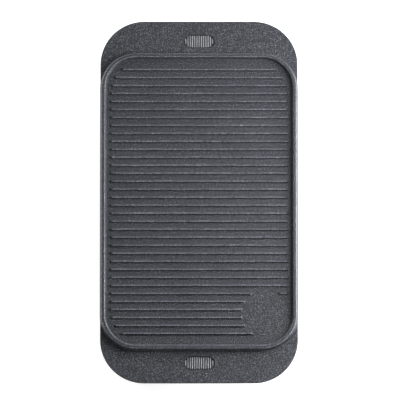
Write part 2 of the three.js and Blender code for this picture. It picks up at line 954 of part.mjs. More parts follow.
add("ash_pan", ashPan(), bareSteel);
add("drawer_front", drawerFront(), blackEnamel);
const knob = add("drawer_knob", drawerKnob(), steel);
knob.rotation.y = Math.PI / 2;
knob.position.set(frontFace + sheet + seat, 0, (panBottom + drawerTop) / 2);
const knobScrew = add("drawer_knob_screw", screw(2 * sheet + 3 * seat + knobScrewReach), steel);
knobScrew.rotation.y = Math.PI / 2;
knobScrew.position.set(shellX - sheet - seat, 0, (panBottom + drawerTop) / 2);

for (const [name, y] of [
  ["near", -ventOffset],
  ["far", ventOffset],
]) {
  add(`${name}_damper`, damperPlate(y), blackEnamel);
  add(`${name}_damper_lower_guide`, damperGuide(y, -1), blackEnamel);
  add(`${name}_damper_upper_guide`, damperGuide(y, 1), blackEnamel);
  const turnKnob = add(`${name}_damper_knob`, damperKnob(), steel);
  turnKnob.rotation.y = Math.PI / 2;
  turnKnob.position.set(frontFace + sheet + seat, y + damperKnobY, ventLevel);
}

const bracketGrip = bracketSheet + sheet + 3 * seat;
const restGrip = 2 * sheet + 3 * seat;
for (const { name, group } of ends) {
  add(`${name}_plate_rest`, plateRest(), bareSteel, group);
  add(`${name}_grate_ledge`, grateLedge(), bareSteel, group);
  add(`${name}_drawer_rail`, drawerRail(), bareSteel, name === "near" ? group : grill);
  add(`${name}_lifting_loop`, liftingLoop(), steel, group);
  add(`${name}_handle_bracket`, handleBracket(), steel, group);
  add(`${name}_bail`, bail(), steel, group);
  const grip = add(`${name}_wood_grip`, woodGrip(), beech, group);
  grip.rotation.y = Math.PI / 2;
  grip.position.set(0, -pivotY, pivotLevel - bailDrop);
  for (const [sideName, side] of [
    ["left", -1],
    ["right", 1],
  ]) {
    const end = add(`${name}_${sideName}_ferrule`, ferrule(), steel, group);
    end.rotation.y = (side * Math.PI) / 2;
    end.position.set(side * (woodHalf + seat), -pivotY, pivotLevel - bailDrop);

    const bracketRivet = add(`${name}_${sideName}_bracket_rivet`, rivet(bracketGrip), steel, group);
    bracketRivet.rotation.x = -Math.PI / 2;
    bracketRivet.position.set(
      side * bracketRivetX,
      -(shellY + 2 * seat + bracketSheet),
      pivotLevel,
    );
    const restRivet = add(`${name}_${sideName}_rest_rivet`, rivet(restGrip), steel, group);
    restRivet.rotation.x = -Math.PI / 2;
    restRivet.position.set(side * restRivetX, -(shellY + seat), restRivetZ);
  }
}

// The far rail is the near one mirrored, so that both open to the front.
const farRail = grill.getObjectByName("far_drawer_rail");
farRail.scale.y = -1;

const linerShoulder = [
  [rivetRadius, sheet + 2 * seat],
  [rivetHeadRadius - 0.6, sheet + 2 * seat],
  [rivetHeadRadius - 0.6, sheet + linerGap],
  [rivetRadius, sheet + linerGap],
];
for (const [xName, xSide] of [
  ["left", -1],
  ["right", 1],
]) {
  for (const [yName, ySide] of [
    ["near", -1],
    ["far", 1],
  ]) {
    const corner = `${yName}_${xName}`;
    const x = xSide * footX;
    const y = ySide * footY;
    add(`${corner}_foot`, foot(), castIron).position.set(x, y, 0);
    const footShank = nutHeight + bottomPlateTop - footBoreDepth + 2 * seat + screwThreadShown;
    add(`${corner}_foot_screw`, screw(footShank), steel).position.set(x, y, footBoreDepth - seat);
    add(`${corner}_foot_nut`, nut(), steel).position.set(x, y, bottomPlateTop + seat);
    const linerGrip = 2 * sheet + linerGap + 2 * seat;
    const stud = add(`${corner}_liner_rivet`, rivet(linerGrip, linerShoulder), steel);
    stud.rotation.y = (-xSide * Math.PI) / 2;
    stud.position.set(xSide * (shellX + seat), ySide * linerRivetY, linerRivetZ);
  }
}

export default grill;
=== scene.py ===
"""The finished look of a tabletop charcoal hibachi grill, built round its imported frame.

A ribbed cast-iron plate lies on an enamelled sheet-steel firebox with an ash drawer, two sliding
dampers, a coal grate and two bail handles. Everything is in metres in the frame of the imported
model: the plate's long axis is Y, its near end is at -Y, and the drawer opens towards +X.
"""

from __future__ import annotations

import json
import logging
import math
from dataclasses import dataclass
from enum import Enum
from typing import Sequence

import bmesh
import bpy
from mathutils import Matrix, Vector

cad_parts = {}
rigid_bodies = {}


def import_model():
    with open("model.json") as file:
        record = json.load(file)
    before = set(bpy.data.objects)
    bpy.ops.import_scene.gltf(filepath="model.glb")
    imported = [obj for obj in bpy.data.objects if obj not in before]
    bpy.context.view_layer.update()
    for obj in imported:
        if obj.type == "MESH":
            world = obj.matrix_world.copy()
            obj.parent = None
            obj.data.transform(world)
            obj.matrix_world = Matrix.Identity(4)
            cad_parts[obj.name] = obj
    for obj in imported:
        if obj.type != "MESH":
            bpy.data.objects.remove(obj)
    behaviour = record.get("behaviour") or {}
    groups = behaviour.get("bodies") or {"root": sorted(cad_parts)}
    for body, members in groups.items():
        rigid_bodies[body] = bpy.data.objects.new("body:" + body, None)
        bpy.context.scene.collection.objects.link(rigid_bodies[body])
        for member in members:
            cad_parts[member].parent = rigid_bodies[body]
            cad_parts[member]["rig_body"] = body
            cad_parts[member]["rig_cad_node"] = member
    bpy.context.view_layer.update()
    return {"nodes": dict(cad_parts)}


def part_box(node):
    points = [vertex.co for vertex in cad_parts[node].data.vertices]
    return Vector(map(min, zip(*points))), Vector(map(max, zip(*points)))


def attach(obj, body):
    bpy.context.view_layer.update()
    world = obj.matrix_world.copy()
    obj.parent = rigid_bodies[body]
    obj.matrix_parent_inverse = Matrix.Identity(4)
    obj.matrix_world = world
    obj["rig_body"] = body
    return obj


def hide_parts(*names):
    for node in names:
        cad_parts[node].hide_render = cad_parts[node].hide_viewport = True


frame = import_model()

log = logging.getLogger("hibachi")

MM = 0.001
MERGE = 1e-6
WIRE_SIDES = 20
BEND_STEPS = 8
SHADE_ANGLE = math.radians(38)
FLAT_ANGLE = math.radians(0.5)
REAL_EDGE_ANGLE = math.radians(40)

Point = tuple[float, float, float]
Shader = bpy.types.NodeTree


class Place(Enum):
    """A named place on the grill, with the sign of the way it faces."""

    @property
    def label(self) -> str:
        """The word for it in the names of pieces."""
        return self.name.lower()


class End(Place):
    """The two ends of the grill, by the way along Y that each one faces."""

    NEAR = -1
    FAR = 1


class Side(Place):
    """The two long sides of the grill, by the way along X that each one faces."""

    LEFT = -1
    RIGHT = 1


class Slot(Enum):
    """The record's material slots."""

    CAST_IRON = "cast_iron"
    ENAMEL = "black_enamel"
    SHEET = "sheet_steel"
    PLATED = "bright_steel"
    BEECH = "beech"


# ---------------------------------------------------------------- materials


def linear(hex_colour: str) -> tuple[float, float, float, float]:
    """Turns an sRGB hex colour to linear light.

    Args:
        hex_colour: Six hex digits, such as "4d4f53".

    Returns:
        Red, green, blue and an alpha of one.
    """
    channels = [int(hex_colour[i : i + 2], 16) / 255 for i in (0, 2, 4)]
    red, green, blue = [
        c / 12.92 if c <= 0.04045 else ((c + 0.055) / 1.055) ** 2.4 for c in channels
    ]
    return (red, green, blue, 1.0)


def per_mm(size: float) -> float:
    """The texture scale, per metre, of a pattern whose features are this many millimetres wide."""
    return 1 / (size * MM)


def add(
    tree: Shader,
    kind: str,
    inputs: dict | None = None,
    stops: Sequence[tuple[float, str]] = (),
    **settings: object,
) -> bpy.types.Node:
    """Adds a node, sets it and links it.

    Args:
        tree: The material's node tree.
        kind: The node's type, without "ShaderNode".
        inputs: Input name or number to a value, or to what feeds it: a socket, or a node for its
            first output.
        stops: A colour ramp's pairs of position and sRGB hex colour, in rising order.
        **settings: The node's own properties.

    Returns:
        The new node.
    """
    node = tree.nodes.new(f"ShaderNode{kind}")
    for name, value in settings.items():
        setattr(node, name, value)
    for name, value in (inputs or {}).items():
        if isinstance(value, bpy.types.Node):
            value = value.outputs[0]
        if isinstance(value, bpy.types.NodeSocket):
            tree.links.new(value, node.inputs[name])
        else:
            node.inputs[name].default_value = value
    for number, (position, colour) in enumerate(stops):
        elements = node.color_ramp.elements
        element = elements[number] if number < 2 else elements.new(position)
        element.position = position
        element.color = linear(colour)
    return node


def gathered(low: float, high: float) -> dict[str, float]:
    """A map range's settings from the middle of a noise, where most of it lies, to a new range."""
    return {"From Min": 0.3, "From Max": 0.7, "To Min": low, "To Max": high}


class Finish:
    """The ground of every finish: one shader, with patterns on the object's own coordinates."""

    name = "finish"
    slot = Slot.CAST_IRON

    def __init__(self) -> None:
        """Starts with no material made."""
        self._made: bpy.types.Material | None = None

    def dress(self, tree: Shader, place: bpy.types.NodeSocket) -> dict:
        """Lays out the patterns.

        Args:
            tree: The material's node tree.
            place: The coordinates that the patterns read.

        Returns:
            What goes into each of the shader's inputs.
        """
        raise NotImplementedError

    def material(self) -> bpy.types.Material:
        """The finish's one material, made the first time it is asked for."""
        if self._made is None:
            self._made = bpy.data.materials.new(self.name)
            self._made.use_nodes = True
            tree = self._made.node_tree
            tree.nodes.clear()
            place = add(tree, "TexCoord").outputs["Object"]
            shader = add(tree, "BsdfPrincipled", self.dress(tree, place))
            add(tree, "OutputMaterial", {"Surface": shader})
        return self._made


class CoatedCastIron(Finish):
    """Sand-cast iron under a matt dark grey coat: an even grit, and pale specks on its tips."""

    name = "coated_sand_cast_iron"
    hollows, coat, tips, specks = "06080d", "23262d", "42454c", "7c7e84"
    dull, shiny = 0.60, 0.42

    def dress(self, tree: Shader, place: bpy.types.NodeSocket) -> dict:
        """Lays out the grit, the specks and a faint mottle from uneven coating."""
        # real grit is about 0.5 mm across; drawn coarser so that it shows
        grain = {"Scale": per_mm(1.6), "Detail": 2, "Roughness": 0.7}
        grit = add(tree, "TexNoise", {"Vector": place, **grain})
        mottle = add(tree, "TexNoise", {"Vector": place, "Scale": per_mm(45)})
        speckled = add(
            tree,
            "ValToRGB",
            {"Fac": grit},
            [(0.36, self.hollows), (0.50, self.coat), (0.60, self.tips), (0.70, self.specks)],
        )
        clouds = add(tree, "ValToRGB", {"Fac": mottle}, [(0.35, "ebecef"), (0.65, "ffffff")])
        colour = add(
            tree,
            "Mix",
            {"Factor": 1.0, "A": speckled, "B": clouds},
            data_type="RGBA",
            blend_type="MULTIPLY",
        )
        return {
            "Base Color": colour.outputs[2],
            "Metallic": 0.0,
            "Roughness": add(tree, "MapRange", {"Value": grit, **gathered(self.dull, self.shiny)}),
            "Normal": add(tree, "Bump", {"Height": grit, "Distance": 0.5 * MM}),
        }


class WornCastIron(CoatedCastIron):
    """The same casting on its high edges, rubbed smoother by scrapers and lids; its paler colour is
    a painted highlight.
    """

    name = "rubbed_cast_iron_edge"
    # paler greys than the coat: a painted highlight on the rib tops and crest edges
    hollows, coat, tips, specks = "303239", "5b5e65", "7e8189", "a6a9b1"
    dull, shiny = 0.42, 0.28


class GroundIron(Finish):
    """Iron ground bare on the ridges of the thumb grips: pale, with fine scratches across."""

    name = "ground_bare_iron"

    def dress(self, tree: Shader, place: bpy.types.NodeSocket) -> dict:
        """Lays out scratches along X on a mid grey metal."""
        along = add(tree, "Mapping", {"Vector": place, "Scale": (0.2, 1, 1)})
        scratch = add(tree, "TexNoise", {"Vector": along, "Scale": per_mm(0.8), "Detail": 3})
        greys = [(0.35, "7c7d81"), (0.65, "b4b5b8")]
        return {
            "Base Color": add(tree, "ValToRGB", {"Fac": scratch}, greys),
            "Metallic": 0.85,
            "Roughness": add(tree, "MapRange", {"Value": scratch, **gathered(0.38, 0.55)}),
            "Normal": add(tree, "Bump", {"Height": scratch, "Distance": 0.05 * MM}),
        }


class BlackEnamel(Finish):
    """Black heat-proof enamel on sheet steel: satin, with a slight orange-peel skin."""

    name = "black_heat_enamel"
    slot = Slot.ENAMEL

    def dress(self, tree: Shader, place: bpy.types.NodeSocket) -> dict:
        """Lays out the peel, and clouds that change the black and its gloss a little."""
        peel = add(tree, "TexNoise", {"Vector": place, "Scale": per_mm(3.2), "Detail": 1})
        cloud = add(tree, "TexNoise", {"Vector": place, "Scale": per_mm(60), "Detail": 3})
        blacks = [(0.3, "1a1b1d"), (0.7, "27282b")]
        return {
            "Base Color": add(tree, "ValToRGB", {"Fac": cloud}, blacks),
            "Roughness": add(tree, "MapRange", {"Value": cloud, **gathered(0.3, 0.42)}),
            "Normal": add(tree, "Bump", {"Height": peel, "Distance": 0.04 * MM}),
        }


class SheetSteel(Finish):
    """Bare rolled sheet steel: fine rolling lines, and straw and blue tints from the fire."""

    name = "rolled_sheet_steel"
    slot = Slot.SHEET

    def dress(self, tree: Shader, place: bpy.types.NodeSocket) -> dict:
        """Lays out lines along Y and a faint, cloudy heat tint."""
        along = add(tree, "Mapping", {"Vector": place, "Scale": (1, 0.03, 1)})
        lines = add(tree, "TexNoise", {"Vector": along, "Scale": per_mm(0.9), "Detail": 3})
        heat = add(tree, "TexNoise", {"Vector": place, "Scale": per_mm(70), "Detail": 4})
        tint = [(0.34, "7b7e84"), (0.50, "868688"), (0.62, "8b867b"), (0.72, "767a85")]
        return {
            "Base Color": add(tree, "ValToRGB", {"Fac": heat}, tint),
            "Metallic": 1.0,
            "Roughness": add(tree, "MapRange", {"Value": lines, **gathered(0.32, 0.5)}),
            "Normal": add(tree, "Bump", {"Height": lines, "Distance": 0.02 * MM}),
        }


class ScaledIron(Finish):
    """Fire-worn iron: dark grey-brown mill scale with rusty patches, pitted and dull."""

    name = "fire_scaled_iron"
    slot = Slot.SHEET

    def dress(self, tree: Shader, place: bpy.types.NodeSocket) -> dict:
        """Lays out the patches and the pits."""
        cloudy = {"Scale": per_mm(28), "Detail": 5, "Roughness": 0.65}
        patch = add(tree, "TexNoise", {"Vector": place, **cloudy})
        pits = add(tree, "TexNoise", {"Vector": place, "Scale": per_mm(1.6), "Detail": 3})
        scale = [(0.36, "3c3c3e"), (0.52, "4c4a48"), (0.64, "5a4c42"), (0.76, "6a5346")]
        return {
            "Base Color": add(tree, "ValToRGB", {"Fac": patch}, scale),
            "Metallic": 0.6,
            "Roughness": add(tree, "MapRange", {"Value": patch, **gathered(0.5, 0.72)}),
            "Normal": add(tree, "Bump", {"Height": pits, "Distance": 0.12 * MM}),
        }


class PlatedSteel(Finish):
    """Nickel-plated steel: bright and slightly warm, with smudges and faint drawing lines."""

    name = "nickel_plated_steel"
    slot = Slot.PLATED

    def dress(self, tree: Shader, place: bpy.types.NodeSocket) -> dict:
        """Lays out the smudges, which change the gloss, and a very fine skin."""
        smudge = add(tree, "TexNoise", {"Vector": place, "Scale": per_mm(9), "Detail": 4})
        skin = add(tree, "TexNoise", {"Vector": place, "Scale": per_mm(0.9)})
        nickel = [(0.3, "a3a2a0"), (0.7, "bdbbb7")]
        return {
            "Base Color": add(tree, "ValToRGB", {"Fac": smudge}, nickel),
            "Metallic": 1.0,
            "Roughness": add(tree, "MapRange", {"Value": smudge, **gathered(0.2, 0.36)}),
            "Normal": add(tree, "Bump", {"Height": skin, "Distance": 0.01 * MM}),
        }


class OiledBeech(Finish):
    """Turned and oiled beech: straight grain along the grip, with short dark flecks."""

    name = "oiled_beech"
    slot = Slot.BEECH

    def dress(self, tree: Shader, place: bpy.types.NodeSocket) -> dict:
        """Lays out bands of grain along X, and the small flecks that mark beech."""
        along = add(tree, "Mapping", {"Vector": place, "Scale": (0.06, 1, 1)})
        grain = add(tree, "TexNoise", {"Vector": along, "Scale": per_mm(3), "Detail": 4})
        short = add(tree, "Mapping", {"Vector": place, "Scale": (0.22, 1, 1)})
        fleck = add(tree, "TexNoise", {"Vector": short, "Scale": per_mm(0.9), "Detail": 1})
        bands = [(0.30, "8a5a33"), (0.48, "ad7b4a"), (0.68, "c4945f")]
        wood = add(tree, "ValToRGB", {"Fac": grain}, bands)
        dots = add(tree, "ValToRGB", {"Fac": fleck}, [(0.60, "ffffff"), (0.68, "8f7560")])
        colour = add(
            tree,
            "Mix",
            {"Factor": 0.7, "A": wood, "B": dots},
            data_type="RGBA",
            blend_type="MULTIPLY",
        )
        return {
            "Base Color": colour.outputs[2],
            "Roughness": add(tree, "MapRange", {"Value": grain, **gathered(0.55, 0.42)}),
            "Normal": add(tree, "Bump", {"Height": grain, "Distance": 0.06 * MM}),
        }


class LightTable(Finish):
    """White acrylic lit from below, as a product table is: even, with only a faint shadow."""

    name = "lit_white_acrylic"

    def dress(self, tree: Shader, place: bpy.types.NodeSocket) -> dict:
        """Lays out an even near-white that gives off some light of its own."""
        return {
            "Base Color": linear("d9d9d9"),
            "Roughness": 0.8,
            "Emission Color": linear("ffffff"),
            "Emission Strength": 0.78,
        }


@dataclass(frozen=True)
class Palette:
    """One of each finish."""

    coated_iron: Finish = CoatedCastIron()
    # the paler edge finish is a painted highlight
    worn_iron: Finish = WornCastIron()
    ground_iron: Finish = GroundIron()
    enamel: Finish = BlackEnamel()
    sheet: Finish = SheetSteel()
    scaled: Finish = ScaledIron()
    plated: Finish = PlatedSteel()
    beech: Finish = OiledBeech()
    table: Finish = LightTable()


# ---------------------------------------------------------------- modelling


class Workbench:
    """The moves of modelling by hand, on one mesh at a time."""

    @staticmethod
    def clear() -> None:
        """Deselects every object."""
        bpy.ops.object.select_all(action="DESELECT")

    @staticmethod
    def pick(*pieces: bpy.types.Object) -> None:
        """Selects these objects and makes the first one active."""
        Workbench.clear()
        for piece in pieces:
            piece.select_set(True)
        bpy.context.view_layer.objects.active = pieces[0]

    @staticmethod
    def edit(piece: bpy.types.Object) -> None:
        """Opens an object in edit mode with nothing selected."""
        Workbench.pick(piece)
        bpy.ops.object.mode_set(mode="EDIT")
        bpy.ops.mesh.select_mode(type="FACE")
        bpy.ops.mesh.select_all(action="DESELECT")

    @staticmethod
    def done() -> None:
        """Leaves edit mode."""
        bpy.ops.object.mode_set(mode="OBJECT")

    @staticmethod
    def rise(height: float) -> None:
        """Extrudes what is selected along Z."""
        bpy.ops.mesh.extrude_region_move(TRANSFORM_OT_translate={"value": (0, 0, height)})

    @staticmethod
    def inset(inward: float, up: float) -> None:
        """Insets the selected face evenly and moves it up, or down, along its normal."""
        bpy.ops.mesh.inset(thickness=inward, depth=up, use_even_offset=True)

    @staticmethod
    def apply(piece: bpy.types.Object, kind: str, **settings: object) -> None:
        """Adds a modifier with these settings and applies it."""
        Workbench.pick(piece)
        bpy.ops.object.modifier_add(type=kind)
        modifier = piece.modifiers[-1]
        for name, value in settings.items():
            setattr(modifier, name, value)
        bpy.ops.object.modifier_apply(modifier=modifier.name)

    @staticmethod
    def break_edges(piece: bpy.types.Object, width: float, segments: int, angle: float) -> None:
        """Rounds the edges that turn by more than an angle."""
        Workbench.apply(
            piece,
            "BEVEL",
            width=width,
            segments=segments,
            limit_method="ANGLE",
            angle_limit=angle,
        )

    @staticmethod
    def combine(piece: bpy.types.Object, tool: bpy.types.Object, how: str) -> None:
        """Joins or cuts a piece with a tool, and removes the tool.

        Args:
            piece: The object that is changed.
            tool: The object that is added or taken away.
            how: "UNION" or "DIFFERENCE".
        """
        Workbench.apply(piece, "BOOLEAN", operation=how, object=tool, solver="EXACT")
        bpy.data.objects.remove(tool)

    @staticmethod
    def join(pieces: Sequence[bpy.types.Object]) -> bpy.types.Object:
        """Makes one object of several.

        Returns:
            The object that holds them all.
        """
        Workbench.pick(*pieces)
        if len(pieces) > 1:
            bpy.ops.object.join()
        return pieces[0]

    @staticmethod
    def close_up(piece: bpy.types.Object) -> bpy.types.Object:
        """Turns all faces outward, leaves edit mode and settles the piece.

        Returns:
            The same piece.
        """
        bpy.ops.mesh.select_all(action="SELECT")
        bpy.ops.mesh.normals_make_consistent(inside=False)
        Workbench.done()
        Workbench.settle(piece)
        return piece

    @staticmethod
    def settle(piece: bpy.types.Object) -> None:
        """Puts an object's place, turn and scale into its mesh."""
        Workbench.pick(piece)
        bpy.ops.object.transform_apply(location=True, rotation=True, scale=True)

    @staticmethod
    def smooth(piece: bpy.types.Object) -> None:
        """Smooths round surfaces and keeps flat ones flat and edges crisp."""
        Workbench.pick(piece)
        bpy.ops.object.shade_smooth_by_angle(angle=SHADE_ANGLE)
        Workbench.apply(piece, "WEIGHTED_NORMAL", keep_sharp=True, weight=80)


bench = Workbench


def rounded_sheet(
    name: str, size: tuple[float, float], radius: float, level: float, steps: int
) -> bpy.types.Object:
    """Adds a flat sheet with round corners, and leaves it open in edit mode, all selected.

    Args:
        name: The object's name.
        size: Its sizes along X and Y.
        radius: The radius of its corners.
        level: Its height; its middle is on the Z axis.
        steps: The number of edges round each corner.

    Returns:
        The new object.
    """
    bench.clear()
    bpy.ops.mesh.primitive_plane_add(size=1, location=(0, 0, level))
    sheet = bpy.context.object
    sheet.name = name
    bpy.ops.object.mode_set(mode="EDIT")
    bpy.ops.mesh.select_all(action="SELECT")
    bpy.ops.transform.resize(value=(*size, 1))
    bpy.ops.mesh.bevel(
        offset=radius, segments=steps, affect="VERTICES", profile=0.5, clamp_overlap=False
    )
    bpy.ops.mesh.select_mode(type="FACE")
    bpy.ops.mesh.select_all(action="SELECT")
    return sheet


def slab(
    name: str,
    size: tuple[float, float],
    radius: float,
    bottom: float,
    top: float,
    steps: int = 16,
) -> bpy.types.Object:
    """Makes an upright slab with round corners, centred on the Z axis.

    Args:
        name: The object's name.
        size: Its sizes along X and Y.
        radius: The radius of its corners.
        bottom: Its lowest level.
        top: Its highest level.
        steps: The number of edges round each corner.

    Returns:
        The finished object.
    """
    piece = rounded_sheet(name, size, radius, bottom, steps)
    bench.rise(top - bottom)
    return bench.close_up(piece)


def turned(
    name: str, profile: Sequence[tuple[float, float]], closed: bool = False, sides: int = 48
) -> bpy.types.Object:
    """Turns a piece on the Z axis, as on a lathe.

    Args:
        name: The object's name.
        profile: Pairs of radius and height. It starts and ends on a flat face, or closes on itself.
        closed: Whether the profile closes on itself, as for a piece with a bore.
        sides: The number of sides round it.

    Returns:
        The finished object, on the Z axis.
    """
    bench.clear()
    radius, height = profile[0]
    bpy.ops.mesh.primitive_circle_add(
        vertices=sides,
        radius=radius,
        fill_type="NOTHING" if closed else "NGON",
        location=(0, 0, height),
    )
    piece = bpy.context.object
    piece.name = name
    bpy.ops.object.mode_set(mode="EDIT")
    bpy.ops.mesh.select_mode(type="EDGE")
    bpy.ops.mesh.select_all(action="SELECT")
    for (r0, z0), (r1, z1) in zip(profile, profile[1:]):
        bench.rise(z1 - z0)
        bpy.ops.transform.resize(value=(r1 / r0, r1 / r0, 1))
    bpy.ops.mesh.select_all(action="SELECT")
    bpy.ops.mesh.remove_doubles(threshold=MERGE)
    return bench.close_up(piece)


def aim(piece: bpy.types.Object, turn: Point, place: Point) -> bpy.types.Object:
    """Turns a piece, moves it to its place and puts both into its mesh.

    Args:
        piece: The object.
        turn: Its turn about X, Y and Z in degrees.
        place: Where its own origin goes.

    Returns:
        The same object.
    """
    piece.rotation_euler = [math.radians(a) for a in turn]
    piece.location = place
    bench.settle(piece)
    return piece


def duplicate(
    piece: bpy.types.Object, name: str, shift: Point = (0, 0, 0), turn: float = 0
) -> bpy.types.Object:
    """Copies a piece, mesh and all.

    Args:
        piece: The finished piece.
        name: The copy's name.
        shift: How far it is moved.
        turn: How far it is turned about the Z axis first, in degrees.

    Returns:
        The copy.
    """
    twin = piece.copy()
    twin.data = piece.data.copy()
    twin.name = name
    twin.parent = None
    bpy.context.scene.collection.objects.link(twin)
    return aim(twin, (0, 0, turn), shift)


def lengthen(piece: bpy.types.Object, axis: int, low: float, high: float) -> None:
    """Moves the two ends of a straight piece and keeps their shape.

    Args:
        piece: The piece, which lies across the middle of that axis.
        axis: 0 for X or 1 for Y.
        low: How far the low end moves.
        high: How far the high end moves.
    """
    for sign, shift in ((-1, low), (1, high)):
        bench.edit(piece)
        mesh = bmesh.from_edit_mesh(piece.data)
        bpy.ops.mesh.select_mode(type="VERT")
        for vertex in mesh.verts:
            vertex.select_set(sign * vertex.co[axis] > 0)
        bmesh.update_edit_mesh(piece.data)
        way = (shift, 0, 0) if axis == 0 else (0, shift, 0)
        bpy.ops.transform.translate(value=way)
        bench.done()


def wire(
    name: str, corners: Sequence[Point], bend: float, radius: float
) -> bpy.types.Object:
    """Bends a round wire through corner points.

    Args:
        name: The object's name.
        corners: Its two ends, and between them the points where its straight runs would meet.
        bend: The radius of its bends, along its middle.
        radius: The wire's radius.

    Returns:
        The finished mesh.
    """
    points = [Vector(corner) for corner in corners]
    ways = [(b - a).normalized() for a, b in zip(points, points[1:])]
    bench.clear()
    bpy.ops.mesh.primitive_circle_add(
        vertices=WIRE_SIDES,
        radius=radius,
        location=points[0],
        rotation=ways[0].to_track_quat("Z", "Y").to_euler(),
    )
    piece = bpy.context.object
    piece.name = name
    bench.settle(piece)
    bench.edit(piece)
    bpy.ops.mesh.select_mode(type="EDGE")
    bpy.ops.mesh.select_all(action="SELECT")
    at = points[0]
    for number, way in enumerate(ways):
        last = number == len(ways) - 1
        end = points[number + 1] - (way * 0 if last else way * bend)
        bpy.ops.mesh.extrude_region_move(TRANSFORM_OT_translate={"value": end - at})
        if not last:
            onward = ways[number + 1]
            bpy.ops.mesh.spin(
                steps=BEND_STEPS,
                angle=-math.pi / 2,
                center=end + onward * bend,
                axis=way.cross(onward),
            )
            at = points[number + 1] + onward * bend
    bpy.ops.mesh.select_all(action="SELECT")
    bpy.ops.mesh.remove_doubles(threshold=MERGE)
    bpy.ops.mesh.fill_holes(sides=0)
    return bench.close_up(piece)


def finish_piece(piece: bpy.types.Object, finish: Finish, node: str) -> bpy.types.Object:
    """Smooths and dresses a piece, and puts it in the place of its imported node.

    Args:
        piece: The finished mesh.
        finish: What it is made of.
        node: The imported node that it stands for.

    Returns:
        The same piece.
    """
    bench.smooth(piece)
    if not piece.data.materials:
        piece.data.materials.append(finish.material())
    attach(piece, frame["nodes"][node]["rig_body"])
    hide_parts(node)
    log.info("%s: %d faces", piece.name, len(piece.data.polygons))
    return piece


def place_copies(pattern: bpy.types.Object, nodes: Sequence[str], finish: Finish) -> None:
    """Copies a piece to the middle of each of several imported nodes, and removes the pattern.

    Args:
        pattern: The modelled piece, with its middle at the origin.
        nodes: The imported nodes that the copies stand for.
        finish: What they are made of.
    """
    for node in nodes:
        low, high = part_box(node)
        twin = duplicate(pattern, f"{node}_finished", (low + high) / 2)
        finish_piece(twin, finish, node)
    bpy.data.objects.remove(pattern)


def refine(node: str, finish: Finish, edge: float, segments: int = 2) -> bpy.types.Object:
    """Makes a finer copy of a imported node, with its edges softly broken.

    Args:
        node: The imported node.
        finish: What it is made of.
        edge: The width of the broken edges in metres.
        segments: The number of steps across them.

    Returns:
        The finished piece.
    """
    source = frame["nodes"][node]
    piece = source.copy()
    piece.data = source.data.copy()
    piece.data.materials.clear()
    piece.parent = None
    piece.name = f"{node}_finished"
    del piece["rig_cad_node"]
    bpy.context.scene.collection.objects.link(piece)
    bench.edit(piece)
    bpy.ops.mesh.select_all(action="SELECT")
    bpy.ops.mesh.customdata_custom_splitnormals_clear()
    bpy.ops.mesh.remove_doubles(threshold=MERGE)
    bpy.ops.mesh.dissolve_limited(angle_limit=FLAT_ANGLE)
    bench.done()
    bench.break_edges(piece, edge, segments, REAL_EDGE_ANGLE)
    return finish_piece(piece, finish, node)


# ---------------------------------------------------------------- grill plate


class Surface(Enum):
    """The plate's surfaces, in the order of its materials."""

    COATED = 0
    GROUND = 1
    # rib tops and crest edges, coloured paler as a painted highlight
    RUBBED = 2


